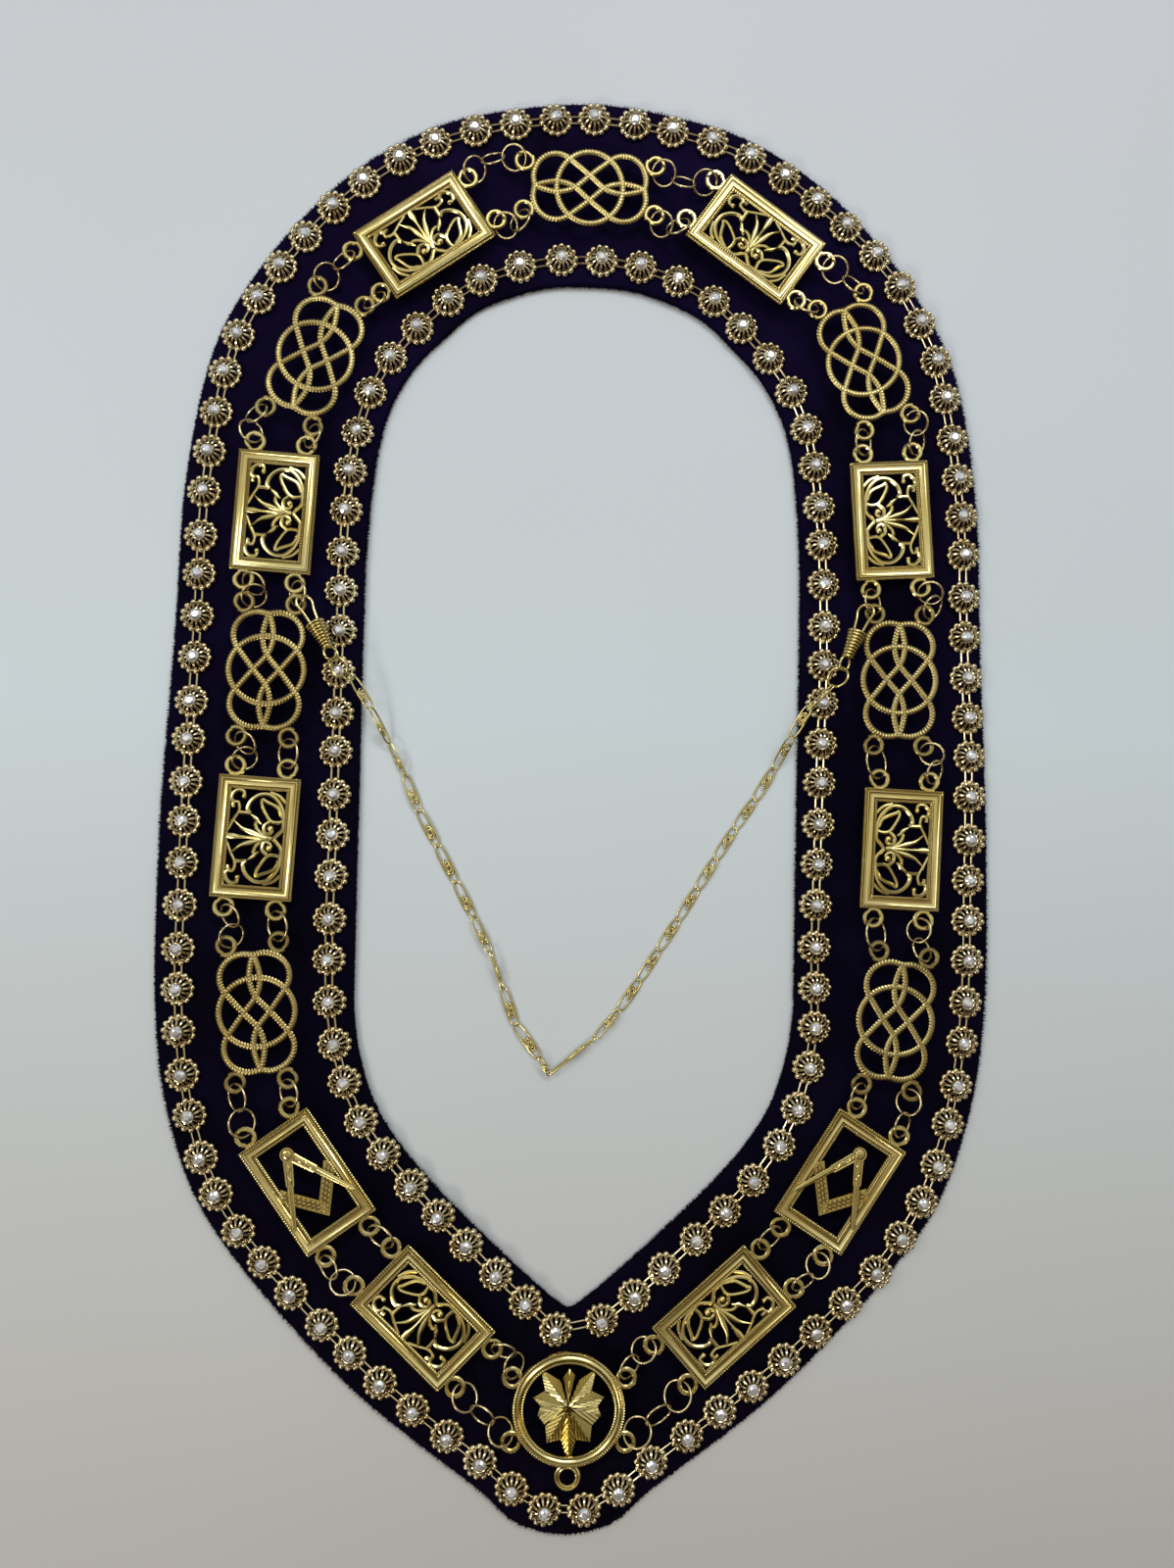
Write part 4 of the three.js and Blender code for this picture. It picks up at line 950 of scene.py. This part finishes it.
def compass_leg():
    """One leg: a panelled upper half with two rails, then a bar tapering to a point."""
    way = unit(COMPASS_TIP - COMPASS_HEAD)
    length = np.linalg.norm(COMPASS_TIP - COMPASS_HEAD)
    aside = np.array([-way[1], way[0]])
    share = np.array([0.06, 0.40, 0.43, 0.70, 0.95, 1.0])
    wide = np.array([2.9, 2.5, 1.8, 1.6, 1.3, 0.3])
    line = COMPASS_HEAD + way * (share * length)[:, None]
    parts = [ribbon(line, wide, PLATE_BACK, 1.62, 0.12)]
    for side in (-1, 1):
        rail = COMPASS_HEAD + way * (np.array([0.08, 0.41]) * length)[:, None]
        rail = rail + aside * side * np.array([[1.2], [1.0]])
        parts.append(ribbon(rail, 0.5, 1.4, 2.0, 0.12))
    along = np.linspace(0.14, 0.39, 26) * length
    wave = 0.45 * np.sin(np.linspace(0, 3 * math.pi, 26))
    scroll = COMPASS_HEAD + way * along[:, None] + aside * wave[:, None]
    parts.append(tube(flat(scroll, 1.62), 0.42, 0.5, 6))
    bar = COMPASS_HEAD + way * (np.array([0.43, 0.72, 0.97]) * length)[:, None]
    parts.append(ribbon(bar, [0.7, 0.6, 0.4], 1.4, 1.85, 0.25))
    return joined(parts)


def tools_plate(head):
    arm, leg = square_arm(), compass_leg()
    figure = [arm, mirrored(arm, 1, -1), leg, mirrored(leg, 1, -1)]
    pivot = joined([
        lathe([(AXIS, PLATE_BACK), (2.3, PLATE_BACK), (2.3, 1.75), (2.15, 2.05), (1.75, 2.05), (1.6, 1.8),
               (AXIS, 1.8)], 28),
        lathe([(AXIS, 1.7), (1.35, 1.7), (1.3, 2.15), (1.1, 2.25), (AXIS, 2.25)], 24),
    ])
    slots = [prism([(-0.9, y - 0.17), (0.9, y - 0.17), (0.9, y + 0.17), (-0.9, y + 0.17)], 2.1, 2.42)
             for y in (-0.45, 0.45)]
    middle = Matrix.Translation((COMPASS_HEAD[0], COMPASS_HEAD[1], 0))
    figure += [moved(part, middle) for part in [pivot] + slots]
    figure = joined(figure)
    return plate_frame() + [mirrored(figure, head, head)] + eyelets("tools")


def star_plate():
    """The medallion's star: ribs that leave the middle line of each point in chevrons."""
    corners = np.array(STAR, float)
    count = len(corners)
    parts = []
    for tip in range(0, count, 2):
        point = corners[tip]
        lean = STAR_LEAN[tip // 2]
        for notch, hand in ((corners[tip - 1], 1), (corners[(tip + 1) % count], -1)):
            turn = math.radians(lean * hand)
            way = turned(unit(point - STAR_MIDDLE), turn)
            reach = np.linalg.norm(point - STAR_MIDDLE)
            pleats = max(3, int(reach * math.sin(abs(turn)) / STAR_PITCH))
            shares = np.linspace(0, 1, 2 * pleats + 1)
            starts = STAR_MIDDLE + (point - STAR_MIDDLE) * shares[:, None]
            stops = np.array([rib_end(start, way, point, notch) for start in starts])
            for pleat in range(pleats):
                rows = slice(2 * pleat, 2 * pleat + 3)
                near = flat(starts[rows])
                far = flat(stops[rows])
                near[:, 2] = 1.35 - 0.75 * shares[rows]
                away = np.linalg.norm(stops[rows] - STAR_MIDDLE, axis=1)
                far[:, 2] = np.clip(1.2 - 0.09 * away, 0.4, 1.2)
                near[[0, 2], 2] -= STAR_PLEAT
                far[[0, 2], 2] -= STAR_PLEAT
                foot_near, foot_far = near * [1, 1, 0], far * [1, 1, 0]
                foot_near[:, 2] = foot_far[:, 2] = PLATE_BACK
                rings = [np.vstack([near, foot_near[::-1]]), np.vstack([far, foot_far[::-1]])]
                parts.append(loft(rings))
    return joined(parts)


def rib_end(start, way, point, notch):
    """Where a rib from the middle line meets the point's edge or the line to the notch."""
    nearest = 0.05
    found = []
    for first, second in ((point, notch), (notch, STAR_MIDDLE)):
        edge = second - first
        cross = way[0] * edge[1] - way[1] * edge[0]
        if abs(cross) < 1e-9:
            continue
        gap = first - start
        run = (gap[0] * edge[1] - gap[1] * edge[0]) / cross
        share = (gap[0] * way[1] - gap[1] * way[0]) / cross
        if run > 0 and -0.001 <= share <= 1.001:
            found.append(run)
    return start + way * max(nearest, min(found, default=nearest))


def medal_plate():
    outer = MEDAL_DIAMETER / 2
    section = [
        (outer, PLATE_BACK), (outer, 0.4), (outer - 0.15, 0.62), (outer - 0.75, 0.7), (outer - 0.9, 0.65),
        (outer - 1.2, 0.95), (outer - 1.7, 1.15), (outer - 2.2, 0.95), (outer - 2.5, 0.6),
        (outer - 2.6, 0.85), (outer - 3.2, 0.85), (outer - 3.35, 0.6), (outer - 3.35, PLATE_BACK),
    ]
    parts = [lathe(section, 96, closed=True)]
    for radius in (outer - 0.36, outer - 2.92):
        line = circle(radius, all_round(int(2 * math.pi * radius / MILGRAIN_PITCH)))[:, :2]
        parts.append(grains(line, True, 0.30, 0.52, 0.55, 0.60))
    parts.append(star_plate())
    drop = MEDAL_DIAMETER / 2 + BAIL_DIAMETER / 2 - 0.35 * (BAIL_DIAMETER - BAIL_HOLE)
    for diameter, wire in ((BAIL_DIAMETER, 1.1), (BAIL_HOLE + 1.9, 0.95)):
        line = circle((diameter - wire) / 2, all_round(40), 0.02) - [0, drop, 0]
        parts.append(tube(line, wire, EYELET_THICK + 0.1, 9, closed=True))
    return parts + eyelets("medal")


def plate_middle(row):
    return np.array([row["across"] * (WIDTH - BAND) / 2, row["along"] * LENGTH / 2])


def plate_matrix(row):
    return Matrix.Translation((*plate_middle(row), CHAIN_LEVEL)) @ spin(row["turn"], "Z")


# Jump rings, as in the CAD model
def eyelet_point(row, end, side):
    place = turned(eyelet_places(row["kind"])[end, side], math.radians(row["turn"]))
    return np.append(plate_middle(row) + place, 0.0)


def gap_ends(index, side):
    following = PLATES[(index + 1) % len(PLATES)]
    return eyelet_point(PLATES[index], "second", side), eyelet_point(following, "first", side)


def strand_fit(apart, most):
    """How many rings bridge the gap, how far they reach past it and their scale."""
    def length(rings):
        return 2 * RING_RADIUS * rings - 2 * (rings - 1) * RING_PAST

    count = most
    while count > 1 and length(count) > RING_SLACK * apart:
        count -= 1
    play = min(RING_PLAY, max(-RING_PLAY, (length(count) - apart) / 2))
    return count, play, max(RING_LEAST, (apart + 2 * play) / length(count))


def strand_scale(index, side):
    start, finish = gap_ends(index, side)
    return strand_fit(np.linalg.norm(finish - start), PLATES[index][side])[2]


WIDEST = max(strand_scale(index, side) for index in range(len(PLATES)) for side in ("outer", "inner"))
CHAIN_LEVEL = VELVET + GAP + WIDEST * RING_RADIUS * math.sin(math.radians(RING_TILT)) + RING_WIRE / 2
FOOT_LEVEL = TRIM_TOP + GAP + END_RING_DIAMETER / 2 * math.sin(math.radians(RING_TILT))


def wire_ring(start, finish, diameter, wire, tilt, gap_at=90.0):
    """A round link of wire with a fine butt joint, through start and finish."""
    way = finish - start
    length = np.linalg.norm(way)
    radius = (diameter - wire) / 2
    rise = math.sqrt(max(0.0, radius**2 - (length / 2) ** 2))
    slope = math.sin(math.radians(abs(tilt))) / min(1.0, length / 2 / radius)
    sign = 1 if tilt > 0 else -1
    turn = sign * math.asin(min(0.98, slope))
    angle = np.radians(gap_at + np.linspace(1.2, 358.8, 44))
    line = circle(radius, angle) + [0, sign * rise, 0]
    pose = aimed((start + finish) / 2, way) @ Matrix.Rotation(turn, 4, "X")
    return moved(tube(line, wire, wire, 8), pose)


def strand_joints(start, finish, lengths, bow):
    """Where rings of these lengths meet when the strand hangs in an arc to one side."""
    span_length = math.hypot(finish[0] - start[0], finish[1] - start[1])

    def walk(bend):
        points = [np.zeros(2)]
        angle = bend * (len(lengths) - 1) / 2
        for length in lengths:
            points.append(points[-1] + length * np.array([math.cos(angle), math.sin(angle)]))
            angle -= bend
        return points

    low, high = 0.0, 1.9 * math.pi / (len(lengths) + 1)
    for _ in range(40):
        bend = (low + high) / 2
        if np.linalg.norm(walk(bend)[-1]) > span_length:
            low = bend
        else:
            high = bend
    points = walk((low + high) / 2)
    skew = math.atan2(points[-1][1], points[-1][0])
    heading = math.atan2(finish[1] - start[1], finish[0] - start[0])

    joints = []
    for joint, point in enumerate(points):
        place = turned(turned(point, -skew) * [1, bow], heading)
        z = start[2] + (finish[2] - start[2]) * joint / len(lengths)
        joints.append(np.array([start[0] + place[0], start[1] + place[1], z]))
    return joints


def ring_strand(index, side):
    """The jump rings from one plate to the next, on one side."""
    row = PLATES[index]
    bow = row["bow"] if side == "outer" else -1
    start, finish = gap_ends(index, side)
    start[2] = finish[2] = CHAIN_LEVEL
    apart = np.linalg.norm(finish - start)
    count, play, scale = strand_fit(apart, row[side])
    way = (finish - start) / apart
    start, finish = start - way * play, finish + way * play
    diameter = 2 * RING_RADIUS * scale + RING_WIRE
    if count == 1:
        return wire_ring(start, finish, diameter, RING_WIRE, bow * RING_TILT)
    lengths = []
    for ring in range(count):
        shared = (ring > 0) + (ring < count - 1)
        lengths.append(2 * RING_RADIUS * scale - shared * RING_PAST)
    joints = strand_joints(start, finish, lengths, bow)
    rings = []
    for ring in range(count):
        near, far = joints[ring].copy(), joints[ring + 1].copy()
        along = (far - near) / np.linalg.norm(far - near)
        if ring > 0:
            near -= along * RING_PAST
        if ring < count - 1:
            far += along * RING_PAST
        tilt = RING_TILT if ring % 2 == 0 else -RING_TILT
        rings.append(wire_ring(near, far, diameter, RING_WIRE, tilt, gap_at=60.0 + 95.0 * ring))
    return joined(rings)


# Clasps
SLEEVE_COILS = 9


def clasp_place(clasp):
    """Where a clasp starts, hooked into a jump ring, and where its loop ends."""
    start, finish = gap_ends(clasp["strand"] - 1, "inner")
    middle = (start + finish) / 2
    middle[2] = CHAIN_LEVEL
    grip = math.radians(clasp["grip"])
    aside, below = RING_RADIUS * math.cos(grip), RING_RADIUS * math.sin(grip)
    tilt = math.radians(RING_TILT)
    way = bearing(clasp["heading"])
    tip = middle + [aside * math.cos(tilt), below, abs(aside) * math.sin(tilt)] - way * HOOK_BITE
    foot = tip + way * CLASP_REACH
    foot[2] = FOOT_LEVEL
    return tip, foot


def clasp_part(clasp):
    side = (HOOK_WIDTH - HOOK_WIRE) / 2
    route = [
        (HOOK_REACH + 1, 0.5 * side, 0), (0.6 * HOOK_REACH, 0.75 * side, 0), (0.26 * HOOK_REACH, side, 0),
        (HOOK_WIRE / 2, 0.45 * side, 0), (HOOK_WIRE / 2, -0.45 * side, 0), (0.26 * HOOK_REACH, -side, 0),
        (0.6 * HOOK_REACH, -0.75 * side, 0), (HOOK_REACH + 1, -0.5 * side, 0),
    ]
    hook = moved(tube(curve(route, 60), HOOK_WIRE, HOOK_WIRE, 8), spin(clasp["tilt"], "X"))
    profile = [(AXIS, 0.0)]
    for coil in range(SLEEVE_COILS):
        for share, swell in ((0.0, -0.28), (0.3, 0.12), (0.5, 0.18), (0.7, 0.12)):
            at = (coil + share) / SLEEVE_COILS
            radius = (SLEEVE_WIDE * (1 - at) + SLEEVE_NARROW * at) / 2 - 0.1 + swell
            profile.append((radius, at * SLEEVE_LENGTH))
    profile += [(SLEEVE_NARROW / 2 - 0.2, SLEEVE_LENGTH), (AXIS, SLEEVE_LENGTH)]
    sleeve = moved(lathe(profile, 28), Matrix.Translation((HOOK_REACH, 0, 0)) @ spin(90, "Y"))
    foot = HOOK_REACH + SLEEVE_LENGTH
    line = circle((LOOP_DIAMETER - LOOP_WIRE) / 2, all_round(36))
    hung = Matrix.Translation((foot + LOOP_DIAMETER / 2 - LOOP_WIRE, 0, 0)) @ spin(-RING_TILT, "X")
    loop = moved(tube(line, LOOP_WIRE, LOOP_WIRE, 8, closed=True), hung)
    tip, end = clasp_place(clasp)
    return moved(joined([hook, sleeve, loop]), aimed(tip, end - tip))


# Safety chain of scroll links
LINK_LENGTH = 12.1
LINK_WIDE = 3.3
LINK_WIRE = 0.62
LINK_BITE = 0.9


def scroll_link():
    """A long round-ended loop of wire with a tight oval spiral toward one end."""
    half_long = (LINK_LENGTH - LINK_WIRE) / 2
    half_wide = (LINK_WIDE - LINK_WIRE) / 2
    angle = all_round(48)
    loop = np.column_stack([
        half_long * np.sign(np.cos(angle)) * np.abs(np.cos(angle)) ** 0.7,
        half_wide * np.sign(np.sin(angle)) * np.abs(np.sin(angle)) ** 0.62,
        np.zeros(48),
    ])
    turns = np.linspace(0, 2.25 * 2 * math.pi, 54)
    shrink = np.linspace(1.0, 0.22, 54)
    spiral = np.column_stack([
        2.5 * shrink * np.cos(turns) - 1.2, (half_wide - 0.05) * shrink * np.sin(turns),
        0.25 + 0.25 * (1 - shrink),
    ])
    return joined([
        tube(loop, LINK_WIRE, LINK_WIRE, 7, closed=True),
        tube(spiral, LINK_WIRE * 0.9, LINK_WIRE * 0.9, 7),
    ])


def chain_ends():
    """Start and finish of the plain ring between each clasp and the chain."""
    rings = []
    for clasp in CLASPS:
        foot = clasp_place(clasp)[1]
        way = bearing(clasp["chain"])
        near = foot - way * LOOP_WIRE
        rings.append((near, near + way * (END_RING_DIAMETER - END_RING_WIRE)))
    return rings


def safety_chain():
    rise = {
        "trim": TRIM_TOP + GAP + CHAIN_THICK / 2,
        "edge": VELVET + GAP + 1.5 * CHAIN_THICK,
        "table": LINK_WIRE / 2 + 0.1,
    }
    ends = chain_ends()
    joints = [(*ends[0][1], 72, 0.9)]
    joints += [(x, y, rise[on], roll, wide) for x, y, on, roll, wide in CHAIN_JOINTS]
    joints.append((*ends[1][1], 0, 1.0))
    link = scroll_link()
    parts = []
    for here, there in zip(joints[:-1], joints[1:]):
        start, finish = np.array(here[:3]), np.array(there[:3])
        way = finish - start
        length = np.linalg.norm(way)
        roll = math.radians(here[3])
        middle = (start + finish) / 2
        middle[2] += (LINK_WIDE - LINK_WIRE) / 2 * abs(math.sin(roll))
        stretch = Matrix.Diagonal(((length + LINK_BITE) / LINK_LENGTH, here[4], 1, 1))
        parts.append(moved(link, aimed(middle, way) @ Matrix.Rotation(roll, 4, "X") @ stretch))
    for near, far in ends:
        parts.append(wire_ring(near, far, END_RING_DIAMETER, END_RING_WIRE, RING_TILT))
    return joined(parts)


# Pieces
for line, sign in ((outer_line(YOKE_STEPS), 1), (inner_line(YOKE_STEPS), -1)):
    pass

velvet = piece("velvet_cloth", velvet_body(), VELVET_CLOTH, "velvet", "velvet_yoke", smooth=60)
threads = joined([fringe(outer_line(2000), 1), fringe(inner_line(1400), -1)])
pile_edge = piece("velvet_cut_pile", threads, VELVET_CLOTH, "velvet", "velvet_yoke", smooth=60)

for name, line_at, inset, row in (
    ("outer", outer_line, -TRIM_INSET, OUTER_ROW), ("inner", inner_line, TRIM_INSET, INNER_ROW),
):
    metal, stones = flower_row(line_at, inset, row)
    piece(f"{name}_flowers", metal, TRIM_GOLD, "trim_gold", f"{name}_stone_trim")
    piece(f"{name}_stones", stones, STONE, "stone", f"{name}_stone_trim", smooth=5)

BODIES = {"knot": knot_plate, "filigree": filigree_plate, "medal": medal_plate}
for number, row in enumerate(PLATES, 1):
    body = tools_plate(row["head"]) if row["kind"] == "tools" else BODIES[row["kind"]]()
    node = "medallion" if row["kind"] == "medal" else f"plate_{number:02d}_{row['kind']}"
    # The knots take the darker gilt, painted shade for their roped wire.
    metal = SHADED_KNOT_GOLD if row["kind"] == "knot" else GOLD
    piece(f"dressed_{node}", moved(joined(body), plate_matrix(row)), metal, "gold", node)

for number in range(len(PLATES)):
    for side in ("outer", "inner"):
        node = f"rings_{side}_{number + 1:02d}"
        piece(f"dressed_{node}", ring_strand(number, side), WIRE_GOLD, "gold", node, smooth=80)

for clasp in CLASPS:
    piece(f"dressed_{clasp['name']}", clasp_part(clasp), GOLD, "gold", clasp["name"], smooth=50)
piece("dressed_safety_chain", safety_chain(), GOLD, "gold", "safety_chain", smooth=80)


# Table and light
def stage_floor():
    reach, steps = 1600.0, 40
    grid = np.linspace(-reach, reach, steps)
    x, y = np.meshgrid(grid, grid, indexing="ij")
    top = np.column_stack([x.ravel(), y.ravel(), np.full(x.size, -0.02)])
    index = np.arange(steps * steps).reshape(steps, steps)
    quads = np.stack([index[:-1, :-1], index[1:, :-1], index[1:, 1:], index[:-1, 1:]], -1).reshape(-1, 4)
    return make_object("table_top", (top, quads, np.zeros((0, 3), int)), floor_material())


def area_light(name, place, size, power, color):
    data = bpy.data.lights.new(name, "AREA")
    data.shape = "RECTANGLE"
    data.size, data.size_y = size
    data.energy = power
    data.color = color
    light = bpy.data.objects.new(name, data)
    light.location = place
    light.rotation_euler = (-Vector(place)).to_track_quat("-Z", "Y").to_euler()
    bpy.context.scene.collection.objects.link(light)


WORLD_STRENGTH = 0.71


def studio_world():
    """Warm dusk beyond the V point, pale overhead and beyond the neck top, dimmer low down."""
    world = bpy.data.worlds.new("studio")
    bpy.context.scene.world = world
    world.use_nodes = True
    tree = world.node_tree
    slope = ramp(tree, span(tree, one_axis(tree, "Y", "Generated"), 0, 1, -1, 1), [
        (0.0, (0.16, 0.12, 0.08)), (0.26, (0.21, 0.16, 0.10)), (0.40, (0.68, 0.60, 0.48)),
        (0.52, (1.0, 0.97, 0.90)), (0.64, (1.05, 1.05, 1.0)), (0.80, (0.9, 0.93, 0.96)),
        (1.0, (0.7, 0.75, 0.82)),
    ])
    lift = ramp(tree, one_axis(tree, "Z", "Generated"), [
        (0.0, (0.14, 0.13, 0.12)), (0.30, (0.40, 0.39, 0.37)), (0.58, (0.80, 0.80, 0.80)),
        (0.8, (1.0, 1.0, 1.0)),
    ])
    background = tree.nodes["Background"]
    tree.links.new(mixed(tree, 1.0, slope, lift, "MULTIPLY"), background.inputs["Color"])
    background.inputs["Strength"].default_value = WORLD_STRENGTH


# Lights that aim at the origin, with places and sizes in metres and power in watts
LIGHT_COLUMNS = ("name", "place", "size", "power", "color")
LIGHT_ROWS = [
    ("window", (0.35, 1.15, 1.4), (1.1, 0.4), 11, (0.94, 0.98, 1.0)),
    ("lamp", (-0.8, -1.15, 1.1), (0.35, 0.35), 7, (1.0, 0.93, 0.82)),
    ("side window", (-1.1, 0.25, 1.3), (0.4, 0.9), 5, (1.0, 1.0, 0.98)),
]

stage_floor()
studio_world()
for row in LIGHT_ROWS:
    area_light(**dict(zip(LIGHT_COLUMNS, row)))

# Camera, fitted to the photo: its turns are degrees about Y, X and Z
CAMERA_PLACE = (-12.536, -9.322, 368.255)
CAMERA_TURN = (-2.30190918, 2.33637801, 1.20422516)
CAMERA_LENS = 27.045
CAMERA_SENSOR = 36
camera_data = bpy.data.cameras.new("camera")
camera_data.lens = CAMERA_LENS
camera_data.sensor_width = CAMERA_SENSOR
camera_data.clip_start = 0.01
camera_data.clip_end = 20
camera = bpy.data.objects.new("camera", camera_data)
camera.matrix_world = (
    Matrix.Translation(Vector(CAMERA_PLACE) * MM)
    @ spin(CAMERA_TURN[0], "Y")
    @ spin(CAMERA_TURN[1], "X")
    @ spin(CAMERA_TURN[2], "Z")
)
bpy.context.scene.collection.objects.link(camera)
bpy.context.scene.camera = camera
bpy.context.scene.view_settings.view_transform = "Standard"
